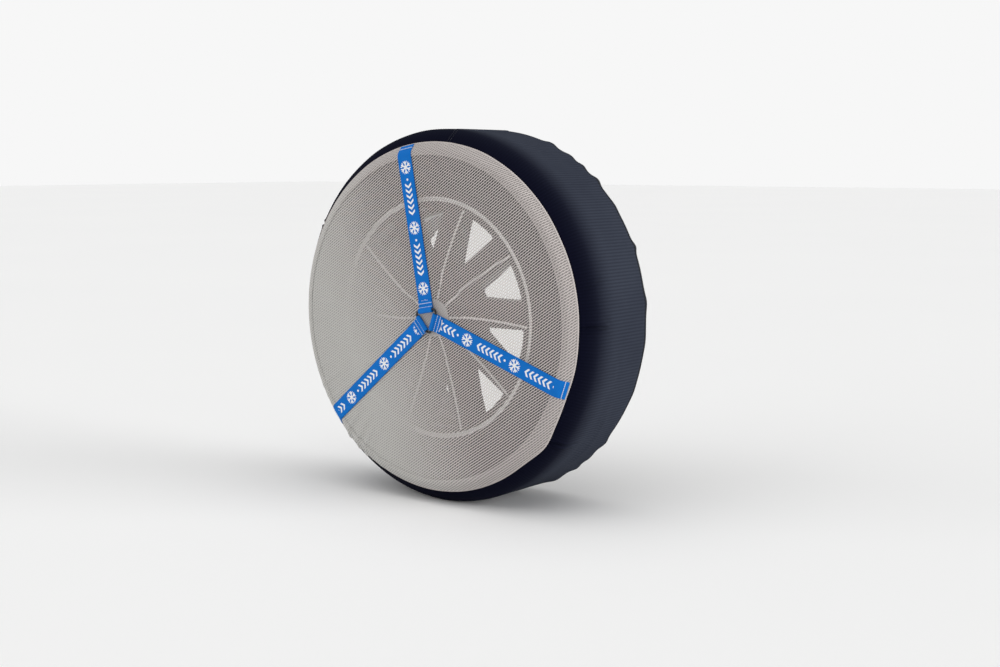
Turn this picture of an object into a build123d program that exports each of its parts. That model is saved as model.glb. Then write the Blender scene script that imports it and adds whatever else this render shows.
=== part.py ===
"""A textile snow sock pulled over a 16 inch car wheel and its tyre.

Frame: the origin is the wheel's centre, Y is the axle with -Y outboard (the
net side), and +Z is up. All lengths are millimetres.
"""
import os
from math import asin, cos, degrees, hypot, pi, radians, sin, sqrt

from build123d import *

# ---- tyre and rim sizes -----------------------------------------------------
tyre_r = 316.0  # crown radius
section_half = 107.0  # half the section width
tread_half = 64.0  # half the flat part of the tread
crown_wall = 14.0
side_wall = 7.0
groove_depth = 7.5
groove_width = 9.0
groove_y = (-41.0, -14.0, 14.0, 41.0)
bead_seat_r = 202.8
flange_r = 220.3
rim_half = 82.55  # half the width between the flanges
lip_y = 93.5  # outboard face of the rim's lip
rim_wall = 5.5
well_r = 186.0  # outside of the drop centre
seat_r = 196.5  # where the wheel centre is welded into the rim
bead_gap = 0.25  # tyre to rim
bead_wire_r = 4.5
belt_thick = 2.5

# ---- wheel centre -----------------------------------------------------------
spokes = 10
offset_et = 46.0  # mounting face to the wheel's middle plane
hub_pad_r = 78.0
hub_bore_r = 28.55
hub_bore_length = 26.0
hub_front_y = 94.0
bolt_circle_r = 56.0
bolt_count = 5
bolt_hole_r = 7.5
lug_pocket_r = 13.0
bolt_seat = 12.0  # metal left under each bolt head
window_in_r = 94.0
window_out_r = 187.5
spoke_width = 47.0
first_spoke = 8.2  # degrees clockwise from the top, seen from the front
spoke_sweep = 5.0  # degrees that a spoke leans from hub to rim
ridge_width = 3.6
ridge_height = 2.2
cap_recess_r = 31.0

# ---- tyre valve -------------------------------------------------------------
valve_angle = 280.2
valve_hole_r = 5.75
valve_up_slope = 9.5  # valve hole's distance up the well's front slope
valve_stem_out = 20.0
collar_gap = 0.15  # stem's collar to the curved wall
valve_thread_r = 3.85
valve_thread_len = 11.0
core_r = 2.6
core_gap = 0.05
pin_r = 0.7
cap_play = 0.35

# ---- sock -------------------------------------------------------------------
band_thick = 1.6
band_gap = 2.4  # tyre to the band over the tread
sock_crown_half = section_half - 35.0  # where the crown would meet the bevel
seam_drop = 23.0  # seam's radius below the crown
net_thick = 0.8
net_gap = 0.9  # tyre to the net
hem_thick = 0.7
hem_flat = 7.0  # hem's width on the flat, inside the bend
binding_width = 3.0
binding_thick = 2.4
crown_bend = 12.0
net_bend = 14.0
skirt_thick = 0.8
skirt_start = section_half - 41.0
rear_hem_r = 240.0
rear_hem_width = 10.0
rear_hem_depth = 5.0
hem_tunnel_wall = 1.0
elastic_play = 0.4
closure_angle = 6.0
closure_width = 9.0
closure_thick = 0.8

# ---- straps and centre ring -------------------------------------------------
strap_width = 30.0
strap_thick = 1.2
strap_hinge_r = 266.0
first_strap = -10.7  # degrees clockwise from the top, seen from the front
strap_names = ("top", "right", "left")
loop_fold_r = 9.6
loop_play = 2.1
ring_wire = 3.6
ring_corner = 6.0
ring_clear = 0.3
loop_tail = 22.0
hinge_gap = 0.3
stitch_rows = (10.2, 16.8)  # from the loop's fold
anchor_stitch_in = 8.0  # from the strap's outer end
stitch_size = (2.2, 0.9, 0.35)
stitches_per_row = 8

# ---- what follows from them -------------------------------------------------
crown_r = tyre_r + band_gap + band_thick
bevel_sum = crown_r + sock_crown_half
net_y = section_half + net_gap + net_thick
seam_r = crown_r - seam_drop
seam_y = bevel_sum - seam_r
bulge_r = flange_r + 0.436 * (tyre_r - flange_r)
ring_in_r = loop_fold_r + strap_thick + loop_play
ring_mid_r = ring_in_r + ring_wire / 2
strap_back_y = net_y + hem_thick
loop_back_y = strap_back_y + strap_thick
ring_y = loop_back_y + ring_clear + ring_wire / 2
loop_front_y = ring_y + ring_wire / 2 + ring_clear

os.makedirs("parts", exist_ok=True)


def save(part, name):
    """Label a finished piece and write its file."""
    part.label = name
    export_step(part, f"parts/{name}.step")


def shifted(path, distance):
    """The same open path moved sideways, to its left, with parallel sides."""
    moved = []
    for i, (x, y) in enumerate(path):
        sides = []
        for a, b in ((i - 1, i), (i, i + 1)):
            if a >= 0 and b < len(path):
                dx, dy = path[b][0] - path[a][0], path[b][1] - path[a][1]
                size = hypot(dx, dy)
                sides.append((-dy / size, dx / size))
        nx, ny = (sum(s[k] for s in sides) / len(sides) for k in (0, 1))
        grow = distance / (nx * nx + ny * ny)
        moved.append((x + nx * grow, y + ny * grow))
    return moved


def layer_face(path, near, far, bend):
    """A thin layer's section, between two depths under one rounded path.

    A path runs from the net over the crown to the back, so its left side is
    the tyre's side and depths count towards the tyre.
    """
    with BuildSketch() as face:
        with BuildLine():
            for depth in (near, far):
                points = shifted(path, depth)
                if len(path) > 2:
                    FilletPolyline(*points, radius=bend - depth)
                else:
                    Line(*points)
            for end in (0, -1):
                Line(shifted(path, near)[end], shifted(path, far)[end])
        make_face()
    return face.sketch


def from_top(radius, angle):
    """Front-view point at a clockwise angle from the top."""
    return (radius * sin(radians(angle)), radius * cos(radians(angle)))


# ---- the tyre ---------------------------------------------------------------
side_height = tyre_r - bulge_r
bead_height = bulge_r - flange_r


def tyre_half(side):
    """Outer half profile from bead to crown, on one side of the wheel."""
    flank = [
        (flange_r + 1.3, rim_half + 4.9),
        (flange_r + 0.18 * bead_height, section_half - 11.0),
        (flange_r + 0.47 * bead_height, section_half - 3.6),
        (bulge_r, section_half),
        (bulge_r + 0.33 * side_height, section_half - 4.0),
        (bulge_r + 0.63 * side_height, section_half - 15.5),
        (tyre_r - 7.0, tread_half + 14.5),
        (tyre_r, tread_half - 2.0),
    ]
    return [(r, side * y) for r, y in flank]


def tyre_inside(side):
    """Inner half profile from the bead's toe to the crown."""
    wall = [
        (bead_seat_r + bead_gap + 1.0, rim_half - 18.5),
        (bead_seat_r + 17.0, rim_half - 2.0),
        (flange_r + 0.35 * bead_height, section_half - 5.2 - side_wall),
        (bulge_r, section_half - side_wall),
        (bulge_r + 0.5 * side_height, section_half - 11.0 - side_wall),
        (tyre_r - crown_wall, tread_half - 6.0),
    ]
    return [(r, side * y) for r, y in wall]


def bead_base(side):
    """Bead's seat and heel, which follow the rim at a small gap."""
    heel = [
        (bead_seat_r + bead_gap + 1.0, rim_half - 18.5),
        (bead_seat_r + bead_gap + 1.0, rim_half - 3.0),
        (bead_seat_r + 5.2, rim_half - bead_gap),
        (flange_r - 4.3, rim_half + 0.65 - bead_gap),
        (flange_r + 1.3, rim_half + 4.9),
    ]
    return [(r, side * y) for r, y in heel]


bead_wire_at = (bead_seat_r + 9.5, rim_half - 8.0)
belt_r = tyre_r - crown_wall + 1.5

with BuildPart() as tyre:
    with BuildSketch():
        with BuildLine():
            for side in (-1, 1):
                Polyline(*bead_base(side))
                Spline(*tyre_half(side))
                Spline(*tyre_inside(side))
            Line((tyre_r, 2.0 - tread_half), (tyre_r, tread_half - 2.0))
            Line(tyre_inside(-1)[-1], tyre_inside(1)[-1])
        make_face()
        with Locations(*[(tyre_r, y) for y in groove_y]):
            Rectangle(2 * groove_depth, groove_width, mode=Mode.SUBTRACT)
        with Locations((bead_wire_at[0], bead_wire_at[1]), (bead_wire_at[0], -bead_wire_at[1])):
            Circle(bead_wire_r, mode=Mode.SUBTRACT)
        with Locations((belt_r + belt_thick / 2, 0)):
            Rectangle(belt_thick, 2 * tread_half - 14.0, mode=Mode.SUBTRACT)
    revolve(axis=Axis.Y)
save(tyre.part, "tyre")

with BuildPart() as bead_wires:
    with BuildSketch():
        with Locations((bead_wire_at[0], bead_wire_at[1]), (bead_wire_at[0], -bead_wire_at[1])):
            Circle(bead_wire_r)
    revolve(axis=Axis.Y)
save(bead_wires.part, "bead_wires")

with BuildPart() as steel_belts:
    with BuildSketch():
        with Locations((belt_r + belt_thick / 2, 0)):
            Rectangle(belt_thick, 2 * tread_half - 14.0)
    revolve(axis=Axis.Y)
save(steel_belts.part, "steel_belts")

# ---- the rim ----------------------------------------------------------------
barrel_in_r = well_r + 11.5 - rim_wall  # inside of the barrel behind the well
well_in_r = well_r - rim_wall
well_front = -47.0  # front end of the well's floor
slope_run = 14.0  # how far the well's front slope runs along the axle
lip_step_r = bead_seat_r + 0.4

rim_outside = [
    (flange_r - 3.5, -lip_y),
    (flange_r, -lip_y + 3.0),
    (flange_r, -rim_half - 4.5),
    (flange_r - 4.3, -rim_half - 0.65),
    (bead_seat_r + 5.2, -rim_half),
    (bead_seat_r + 0.7, -rim_half + 2.5),
    (bead_seat_r - 0.4, -rim_half + 16.5),
    (bead_seat_r + 0.5, -rim_half + 19.5),
    (bead_seat_r - 0.8, well_front - slope_run),
    (well_r, well_front),
    (well_r, well_front + 29.0),
    (well_r + 11.0, well_front + 49.0),
    (well_r + 12.5, rim_half - 24.5),
    (bead_seat_r - 0.8, rim_half - 21.5),
    (bead_seat_r + 0.5, rim_half - 19.5),
    (bead_seat_r - 0.4, rim_half - 16.5),
    (bead_seat_r + 0.7, rim_half - 2.5),
    (bead_seat_r + 5.2, rim_half),
    (flange_r - 4.3, rim_half + 0.65),
    (flange_r, rim_half + 4.5),
    (flange_r, rim_half + 7.5),
    (flange_r - 4.3, rim_half + 9.5),
]
rim_inside = [
    (bead_seat_r + 4.2, rim_half + 5.5),
    (bead_seat_r - rim_wall, rim_half + 1.5),
    (bead_seat_r - rim_wall, rim_half - 22.5),
    (barrel_in_r, rim_half - 26.5),
    (barrel_in_r, well_front + 51.0),
    (well_in_r, well_front + 31.0),
    (well_in_r, well_front - 3.0),
    (seat_r, well_front - 3.0 - slope_run),
    (seat_r, -lip_y + 2.0),
    (lip_step_r - 2.0, -lip_y + 2.0),
    (lip_step_r, -lip_y),
]

# The valve hole stands square on the well's front slope.
slope = Vector(bead_seat_r - 0.8 - well_r, -slope_run, 0).normalized()
slope_out = Vector(slope.Y, -slope.X, 0)  # away from the tyre's cavity
wall_foot = Vector(well_in_r, well_front - 3.0, 0) + slope * valve_up_slope
wall_depth = abs((Vector(well_r, well_front, 0) - Vector(well_in_r, well_front - 3.0, 0)).dot(slope_out))
outward = Vector(sin(radians(valve_angle)), 0, cos(radians(valve_angle)))
valve_foot = outward * wall_foot.X + Vector(0, wall_foot.Y, 0)
valve_dir = outward * slope_out.X + Vector(0, slope_out.Y, 0)
valve_side = outward.cross(Vector(0, 1, 0))
valve_section = Plane(origin=valve_foot, x_dir=valve_side, z_dir=valve_side.cross(valve_dir))
valve_axis = Axis(valve_foot, valve_dir)

with BuildPart() as wheel_rim:
    with BuildSketch():
        with BuildLine():
            Polyline(*rim_outside, *rim_inside, close=True)
        make_face()
    revolve(axis=Axis.Y)
    with BuildSketch(Plane(origin=valve_foot, z_dir=valve_dir)):
        Circle(valve_hole_r)
    extrude(amount=2 * wall_depth, both=True, mode=Mode.SUBTRACT)
save(wheel_rim.part, "wheel_rim")

# ---- the wheel centre -------------------------------------------------------
mount_y = -offset_et
hub_flat_r = bolt_circle_r + lug_pocket_r + 3.0
spoke_front = [(hub_flat_r, -hub_front_y), (seat_r, -lip_y + 3.0)]
spoke_back = [
    (seat_r, -lip_y + 26.5),
    (window_in_r + 0.6 * (window_out_r - window_in_r), mount_y - 19.0),
    (hub_pad_r + 5.0, mount_y - 10.0),
    (hub_pad_r, mount_y),
]


def window_edge(turn, side):
    """One long edge of a window: three points from the hub to the rim."""
    points = []
    for share in (0.0, 0.5, 1.0):
        radius = window_in_r + share * (window_out_r - window_in_r)
        spoke = turn + side * 180 / spokes + spoke_sweep * sin(share * pi / 2)
        points.append(from_top(radius, spoke - side * degrees(asin(spoke_width / 2 / radius))))
    return points


with BuildPart() as spoke_ridges:
    with BuildSketch(Plane.XZ):
        for i in range(spokes):
            line = first_spoke + i * 360 / spokes + degrees(asin(spoke_width / 5 / window_in_r))
            near = from_top(hub_flat_r + 2.0, line)
            middle = from_top((window_in_r + window_out_r) / 2, line + 0.6 * spoke_sweep)
            far = from_top(seat_r - 1.5, line + spoke_sweep)
            with BuildLine() as route:
                ThreePointArc(near, middle, far)
            trace(route.line, line_width=ridge_width)
    extrude(amount=2 * lip_y)
    with BuildSketch():
        with BuildLine():
            Polyline(
                (0, 1 - hub_front_y),
                (spoke_front[0][0], 1 - hub_front_y),
                (seat_r - 0.5, 3.5 - lip_y),
                (seat_r - 0.5, 3.5 - lip_y - ridge_height),
                (spoke_front[0][0], -hub_front_y - ridge_height),
                (0, -hub_front_y - ridge_height),
                close=True,
            )
        make_face()
    revolve(axis=Axis.Y, mode=Mode.INTERSECT)

with BuildPart() as wheel_centre:
    with BuildSketch():
        with BuildLine():
            Polyline((0, mount_y), (0, -hub_front_y), *spoke_front, *spoke_back, close=True)
        make_face()
    revolve(axis=Axis.Y)
    with BuildSketch(Plane.XZ):
        for i in range(spokes):
            gap = first_spoke + (i + 0.5) * 360 / spokes
            left, right = window_edge(gap, -1), window_edge(gap, 1)
            with BuildLine():
                ThreePointArc(*left)
                ThreePointArc(*right)
                Line(left[0], right[0])
                RadiusArc(left[2], right[2], window_out_r)
            make_face()
        fillet(vertices(), radius=3.5)
    extrude(amount=2 * lip_y, mode=Mode.SUBTRACT)
    with BuildSketch(Plane.XZ.offset(offset_et)):
        with PolarLocations(bolt_circle_r, bolt_count, start_angle=90):
            Circle(bolt_hole_r)
        Circle(hub_bore_r)
    extrude(amount=2 * hub_front_y, mode=Mode.SUBTRACT)
    with BuildSketch(Plane.XZ.offset(offset_et + bolt_seat)):
        with PolarLocations(bolt_circle_r, bolt_count, start_angle=90):
            Circle(lug_pocket_r)
    extrude(amount=hub_front_y, mode=Mode.SUBTRACT)
    with BuildSketch(Plane.XZ.offset(offset_et + hub_bore_length)):
        Circle(cap_recess_r)
    extrude(amount=hub_front_y, mode=Mode.SUBTRACT)
    add(spoke_ridges.part)
    cap_groove_y = -hub_front_y + 5.5
    with BuildSketch():
        with Locations((cap_recess_r, cap_groove_y)):
            Rectangle(1.8, 2.2)
    revolve(axis=Axis.Y, mode=Mode.SUBTRACT)
save(wheel_centre.part, "wheel_centre")

cap_wire_r = 0.8
cap_skirt_r = cap_recess_r - 1.1
with BuildPart() as centre_cap:
    with BuildSketch():
        with BuildLine():
            Polyline(
                (0, -hub_front_y - 1.0),
                (0, -hub_front_y - 3.4),
                (cap_recess_r * 0.6, -hub_front_y - 3.0),
                (cap_recess_r + 1.0, -hub_front_y - 1.2),
                (cap_recess_r + 1.0, -hub_front_y),
                (cap_skirt_r, -hub_front_y),
                (cap_skirt_r, cap_groove_y + 1.5),
                (cap_skirt_r - 2.0, cap_groove_y + 1.5),
                (cap_skirt_r - 2.0, -hub_front_y - 1.0),
                close=True,
            )
        make_face()
    revolve(axis=Axis.Y)
save(centre_cap.part, "centre_cap")

with BuildPart() as cap_retaining_ring:
    with BuildSketch():
        with Locations((cap_skirt_r + cap_wire_r, cap_groove_y)):
            Circle(cap_wire_r)
    revolve(axis=Axis.Y, revolution_arc=330)
save(cap_retaining_ring.part, "cap_retaining_ring")

weight_size = (3.6, 18.0)  # depth and length along the axle
weight_arc = 5.6
weight_pitch = 6.2
with BuildPart() as balance_weights:
    for start, count, radius, y in ((62, 6, barrel_in_r, 30.0), (241, 4, well_in_r, -34.0)):
        for i in range(count):
            tilt = start + i * weight_pitch
            with BuildSketch(Plane.XY.rotated((0, tilt, 0))):
                with Locations((radius - weight_size[0] / 2, y)):
                    Rectangle(*weight_size)
            revolve(axis=Axis.Y, revolution_arc=weight_arc)
save(balance_weights.part, "balance_weights")


# ---- the valve --------------------------------------------------------------
def turned(name, *outline):
    """A piece turned about the valve's axis, from (radius, height) points."""
    with BuildPart() as piece:
        with BuildSketch(valve_section):
            with BuildLine():
                Polyline(*outline, close=True)
            make_face()
        revolve(axis=valve_axis)
    save(piece.part, name)


tube_r = 2.9
tube_foot = -wall_depth - 6.0
throat = 6.0  # where the narrow bore opens into the core's seat
thread_top = valve_stem_out + valve_thread_len
core_top = thread_top - 1.0
core_bottom = throat + 6.0
chamber = (core_bottom + 6.0, core_top - 2.5)
inner_collar_r = valve_hole_r + 0.8
outer_collar_r = valve_hole_r + 1.4
collar_thick = 2.0
stem_neck_r = 4.7
stem_shoulder = 7.0
collar_height = 0.8
spring_wire = 0.18
spring_mid_r = 1.35

turned(
    "valve_stem",
    (tube_r, tube_foot),
    (valve_hole_r, tube_foot),
    (inner_collar_r, -wall_depth - collar_thick),
    (inner_collar_r, -wall_depth),
    (valve_hole_r, -wall_depth),
    (valve_hole_r, collar_gap),
    (outer_collar_r, collar_gap),
    (outer_collar_r, collar_thick),
    (stem_neck_r + 0.2, stem_shoulder),
    (stem_neck_r, valve_stem_out),
    (tube_r, valve_stem_out),
)
turned(
    "valve_tube",
    (1.6, tube_foot),
    (tube_r, tube_foot),
    (tube_r, valve_stem_out),
    (valve_thread_r, valve_stem_out),
    (valve_thread_r, thread_top - 0.6),
    (valve_thread_r - 0.6, thread_top),
    (core_r + core_gap, thread_top),
    (core_r + core_gap, throat),
    (1.6, throat),
)
turned(
    "valve_core",
    (pin_r + 0.25, core_bottom),
    (core_r, core_bottom),
    (core_r, core_top),
    (pin_r + 0.25, core_top),
    (pin_r + 0.25, chamber[1] + 1.2),
    (core_r - 0.6, chamber[1] + 1.2),
    (core_r - 0.6, chamber[0]),
    (pin_r + 0.25, chamber[0]),
)
turned(
    "valve_pin",
    (0, core_bottom - 2.0),
    (1.25, core_bottom - 2.0),
    (1.25, core_bottom - 0.3),
    (pin_r, core_bottom - 0.3),
    (pin_r, chamber[1]),
    (1.4, chamber[1]),
    (1.4, chamber[1] + collar_height),
    (pin_r, chamber[1] + collar_height),
    (pin_r, core_top + 0.4),
    (0, core_top + 0.4),
)
cap_bore_r = valve_thread_r + cap_play
cap_top = thread_top + 2.6
turned(
    "valve_cap",
    (cap_bore_r, valve_stem_out + 0.4),
    (cap_bore_r + 1.0, valve_stem_out + 0.4),
    (cap_bore_r + 1.0, cap_top - 1.0),
    (cap_bore_r, cap_top),
    (0, cap_top),
    (0, thread_top + 1.0),
    (cap_bore_r, thread_top + 1.0),
)

spring_turns = 5
spring_length = chamber[1] - chamber[0] - 2 * (spring_wire + 0.05)
spring_foot = valve_foot + valve_dir * (chamber[0] + spring_wire + 0.05)
with BuildPart() as valve_spring:
    with BuildLine() as coil:
        Helix(
            pitch=spring_length / spring_turns,
            height=spring_length,
            radius=spring_mid_r,
            center=spring_foot,
            direction=valve_dir,
        )
    with BuildSketch(Plane(origin=coil.line @ 0, z_dir=coil.line % 0)):
        Circle(spring_wire)
    sweep()
save(valve_spring.part, "valve_spring")

# ---- the sock ---------------------------------------------------------------
def along_bevel(distance):
    """Point on the bevel, measured from the seam towards the crown."""
    return (seam_r + distance / sqrt(2), -seam_y + distance / sqrt(2))


def ring_of(name, face, start=90.0, arc=360.0):
    """A loop of one section about the axle, or its stretch from a start angle."""
    with BuildPart() as loop:
        add(face)
        revolve(axis=Axis.Y, revolution_arc=arc)
    save(loop.part.rotate(Axis.Y, start - 90.0), name)


# The outer surface: flat net, bevel over the tyre's shoulder, flat crown.
seam_gap = binding_width / 2
net_corner = (bevel_sum - net_y, -net_y)
crown_corner = (crown_r, -sock_crown_half)
net_end = along_bevel(-seam_gap)
band_path = [along_bevel(seam_gap), crown_corner, (crown_r, skirt_start)]

ring_of("tread_band", layer_face(band_path, 0.0, band_thick, crown_bend))
ring_of("front_net", layer_face([(0, -net_y), net_corner, net_end], 0.0, net_thick, net_bend))
hem_path = [(net_corner[0] - hem_flat, -net_y), net_corner, net_end]
ring_of("net_hem", layer_face(hem_path, -hem_thick, 0.0, net_bend))
binding_path = [net_end, along_bevel(seam_gap)]
ring_of("seam_binding", layer_face(binding_path, -binding_thick / 2, binding_thick / 2, 0.0))

closure_arc = degrees(closure_width / crown_r)
closure_face = layer_face(band_path, -closure_thick, 0.0, crown_bend)
ring_of("band_closure_seam", closure_face, closure_angle - closure_arc / 2, closure_arc)

rear_hem_y = section_half + 0.5
skirt_path = [
    (crown_r, skirt_start),
    (crown_r, sock_crown_half),
    (net_corner[0], net_y),
    (rear_hem_r, rear_hem_y + skirt_thick),
]
ring_of("rear_skirt", layer_face(skirt_path, 0.0, skirt_thick, crown_bend))

tunnel = (rear_hem_width - 2 * hem_tunnel_wall, rear_hem_depth - 2 * hem_tunnel_wall)
hem_middle = (rear_hem_r - rear_hem_width / 2, rear_hem_y)
with BuildPart() as rear_hem:
    with BuildSketch():
        with Locations(hem_middle):
            RectangleRounded(rear_hem_width, rear_hem_depth, 1.0)
            Rectangle(*tunnel, mode=Mode.SUBTRACT)
    revolve(axis=Axis.Y)
save(rear_hem.part, "rear_hem")

with BuildPart() as rear_elastic:
    with BuildSketch():
        with Locations(hem_middle):
            Rectangle(tunnel[0] - elastic_play, tunnel[1] - elastic_play)
    revolve(axis=Axis.Y)
save(rear_elastic.part, "rear_elastic")

# ---- the centre ring --------------------------------------------------------
with BuildPart() as centre_ring:
    with BuildLine(Plane.XZ.offset(ring_y)) as hoop:
        corners = [from_top(2 * ring_mid_r, first_strap + 60 + 120 * i) for i in range(3)]
        FilletPolyline(*corners, radius=ring_corner, close=True)
    start_edge = hoop.line.edges().filter_by(GeomType.LINE)[0]
    with BuildSketch(Plane(origin=start_edge @ 0.5, z_dir=start_edge % 0.5)):
        Circle(ring_wire / 2)
    sweep(path=hoop.line)
save(centre_ring.part, "centre_ring")

# ---- the straps -------------------------------------------------------------
loop_height = loop_front_y - loop_back_y
slope_top = ring_mid_r + 1.5
slope_foot = slope_top + 2.4
slope_shift = strap_thick * (hypot(slope_foot - slope_top, loop_height) - 2.4) / loop_height
ply_y = loop_back_y + strap_thick  # outside of the stitched-down end


def strap_loop(section):
    """The free strap: one ply to the hinge, folded back around the ring."""
    fold_outer = loop_height / 2 + strap_thick
    turn = loop_fold_r + fold_outer
    with BuildSketch(section) as face:
        with BuildLine():
            Polyline(
                (turn, -loop_front_y - strap_thick),
                (slope_top + slope_shift, -loop_front_y - strap_thick),
                (slope_foot + slope_shift, -ply_y),
                (loop_fold_r + loop_tail, -ply_y),
                (loop_fold_r + loop_tail, -loop_back_y),
                (strap_hinge_r - hinge_gap, -loop_back_y),
                (strap_hinge_r - hinge_gap, -strap_back_y),
                (turn, -strap_back_y),
            )
            ThreePointArc(
                (turn, -strap_back_y), (loop_fold_r, -ring_y), (turn, -loop_front_y - strap_thick)
            )
        make_face()
        with BuildLine():
            Polyline(
                (turn, -loop_front_y),
                (slope_top, -loop_front_y),
                (slope_foot, -loop_back_y),
                (turn, -loop_back_y),
            )
            ThreePointArc(
                (turn, -loop_back_y), (loop_fold_r + strap_thick, -ring_y), (turn, -loop_front_y)
            )
        make_face(mode=Mode.SUBTRACT)
    return face.sketch


stitch_pitch = strap_width / stitches_per_row
anchor_path = [(strap_hinge_r, -net_y), net_corner, net_end]
anchor_face = layer_face(anchor_path, -hem_thick - strap_thick, -hem_thick, net_bend)
anchor_row = along_bevel(-seam_gap - anchor_stitch_in)
outside = (hem_thick + strap_thick + stitch_size[2] / 2) / sqrt(2)

for i, strap_name in enumerate(strap_names):
    strap_angle = first_strap + 120 * i
    run = Vector(sin(radians(strap_angle)), 0, cos(radians(strap_angle)))
    side_on = Plane(origin=(0, 0, 0), x_dir=run, z_dir=run.cross(Vector(0, 1, 0)))
    face_on = Plane(origin=(0, 0, 0), x_dir=run, z_dir=(0, -1, 0))

    with BuildPart() as strap:
        extrude(strap_loop(side_on), amount=strap_width / 2, both=True)
    save(strap.part, f"strap_{strap_name}")

    with BuildPart() as thread:
        with BuildSketch(face_on.offset(ply_y)):
            for row in stitch_rows:
                with Locations((loop_fold_r + row, 0)):
                    with GridLocations(0, stitch_pitch, 1, stitches_per_row):
                        Rectangle(stitch_size[1], stitch_size[0])
        extrude(amount=stitch_size[2])
    save(thread.part, f"strap_{strap_name}_stitches")

    with BuildPart() as anchor:
        add(anchor_face)
        revolve(axis=Axis.Y)
        with BuildSketch(face_on):
            with Locations((strap_hinge_r, 0)):
                Rectangle(crown_r, strap_width, align=(Align.MIN, Align.CENTER))
        extrude(amount=2 * net_y, mode=Mode.INTERSECT)
    save(anchor.part, f"strap_anchor_{strap_name}")

    with BuildPart() as thread:
        for k in range(stitches_per_row):
            across = (k + 0.5) * stitch_pitch - (strap_width + stitch_size[0]) / 2
            tilt = strap_angle - 90 + degrees(across / anchor_row[0])
            with BuildSketch(Plane.XY.rotated((0, tilt, 0))):
                with Locations((anchor_row[0] + outside, anchor_row[1] - outside)):
                    Rectangle(stitch_size[1], stitch_size[2], rotation=45)
            revolve(axis=Axis.Y, revolution_arc=degrees(stitch_size[0] / anchor_row[0]))
    save(thread.part, f"anchor_stitches_{strap_name}")
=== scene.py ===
"""A textile snow sock pulled over a car wheel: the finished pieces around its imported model.

Metres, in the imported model's frame: Y is the axle with the net side at -Y, and +Z is up.
"""
from math import cos, pi, radians, sin, tan

import bpy
import numpy as np
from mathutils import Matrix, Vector


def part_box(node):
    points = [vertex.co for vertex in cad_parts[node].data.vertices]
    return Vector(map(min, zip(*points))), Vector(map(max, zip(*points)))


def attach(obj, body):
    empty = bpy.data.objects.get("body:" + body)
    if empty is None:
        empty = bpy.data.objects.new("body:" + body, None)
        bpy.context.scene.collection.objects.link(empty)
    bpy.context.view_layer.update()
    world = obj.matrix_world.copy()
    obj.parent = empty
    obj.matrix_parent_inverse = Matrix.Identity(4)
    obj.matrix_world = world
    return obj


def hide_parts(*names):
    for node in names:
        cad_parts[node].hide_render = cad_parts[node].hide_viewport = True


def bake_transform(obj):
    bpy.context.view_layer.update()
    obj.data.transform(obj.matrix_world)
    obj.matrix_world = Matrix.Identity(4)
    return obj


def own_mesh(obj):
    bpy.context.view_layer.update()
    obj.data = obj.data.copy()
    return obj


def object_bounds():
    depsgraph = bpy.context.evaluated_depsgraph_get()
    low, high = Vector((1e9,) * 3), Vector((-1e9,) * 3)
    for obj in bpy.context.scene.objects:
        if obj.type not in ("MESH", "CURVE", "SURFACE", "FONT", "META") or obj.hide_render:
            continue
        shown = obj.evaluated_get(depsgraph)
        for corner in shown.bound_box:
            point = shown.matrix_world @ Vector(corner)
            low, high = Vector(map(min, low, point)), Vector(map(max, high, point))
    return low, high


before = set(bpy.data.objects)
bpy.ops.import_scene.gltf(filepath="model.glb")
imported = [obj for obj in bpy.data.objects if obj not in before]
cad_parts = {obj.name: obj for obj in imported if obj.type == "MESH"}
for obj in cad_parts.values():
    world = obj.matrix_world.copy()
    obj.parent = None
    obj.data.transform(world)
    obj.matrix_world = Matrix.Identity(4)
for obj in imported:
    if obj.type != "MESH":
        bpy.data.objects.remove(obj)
cad_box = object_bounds()

bl_info = {
    "name": "Snow Sock",
    "version": (1, 0, 0),
    "blender": (4, 5, 0),
    "location": "3D View > Sidebar > Snow Sock",
    "description": "Dresses a wheel in a ribbed snow sock with a net face and pull straps",
    "category": "Object",
}

SIDES = ("top", "right", "left")
CROWN_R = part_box("tread_band")[1].z
NET_Y = -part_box("front_net")[0].y
TYRE_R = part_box("tyre")[1].z
TYRE_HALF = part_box("tyre")[1].y
FLANGE_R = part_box("wheel_rim")[1].z
RING_Y = (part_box("centre_ring")[0].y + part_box("centre_ring")[1].y) / 2
RING_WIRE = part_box("centre_ring")[1].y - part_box("centre_ring")[0].y

CROWN_HALF = 0.072  # where the crown would meet the bevel
BEVEL_SUM = CROWN_R + CROWN_HALF
NET_CORNER = BEVEL_SUM - NET_Y
SEAM_R = CROWN_R - 0.023
NET_BEND = 0.014
CROWN_BEND = 0.012
SKIRT_START = 0.066
REAR_HEM_R = 0.240
REAR_HEM_Y = TYRE_HALF + 0.0005
BAND_THICK = 0.0016
SKIRT_THICK = 0.0008
HEM_LIFT = 0.0007
HEM_FLAT = 0.007
SEAM_GAP = 0.0015
VALVE_AXIS = (0.648097, -0.752577, -0.116611)  # out of the rim along the valve
VALVE_PIN_TRAVEL = 0.0012
SPOKES = 10
RIDGE_START = 13.9  # degrees clockwise from the top to a spoke's ridge, at the hub
STRAP_WIDTH = 0.030
STRAP_THICK = 0.0012
STRAP_HINGE_R = 0.266
FIRST_STRAP = -10.7  # degrees clockwise from the top, seen from the net side
LOOP_FOLD_R = 0.0096
LOOP_TAIL_R = 0.0316
LOOP_GAP = 0.0003
STITCH_ROWS = (0.0198, 0.0264)  # radii of the two rows that close each loop
PRINT_STARTS = (0.052, 0.013, 0.076)  # where each strap's end falls in the print
ANCHOR_ROW = 0.0095  # from the seam to the row that holds a strap's outer end


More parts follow.
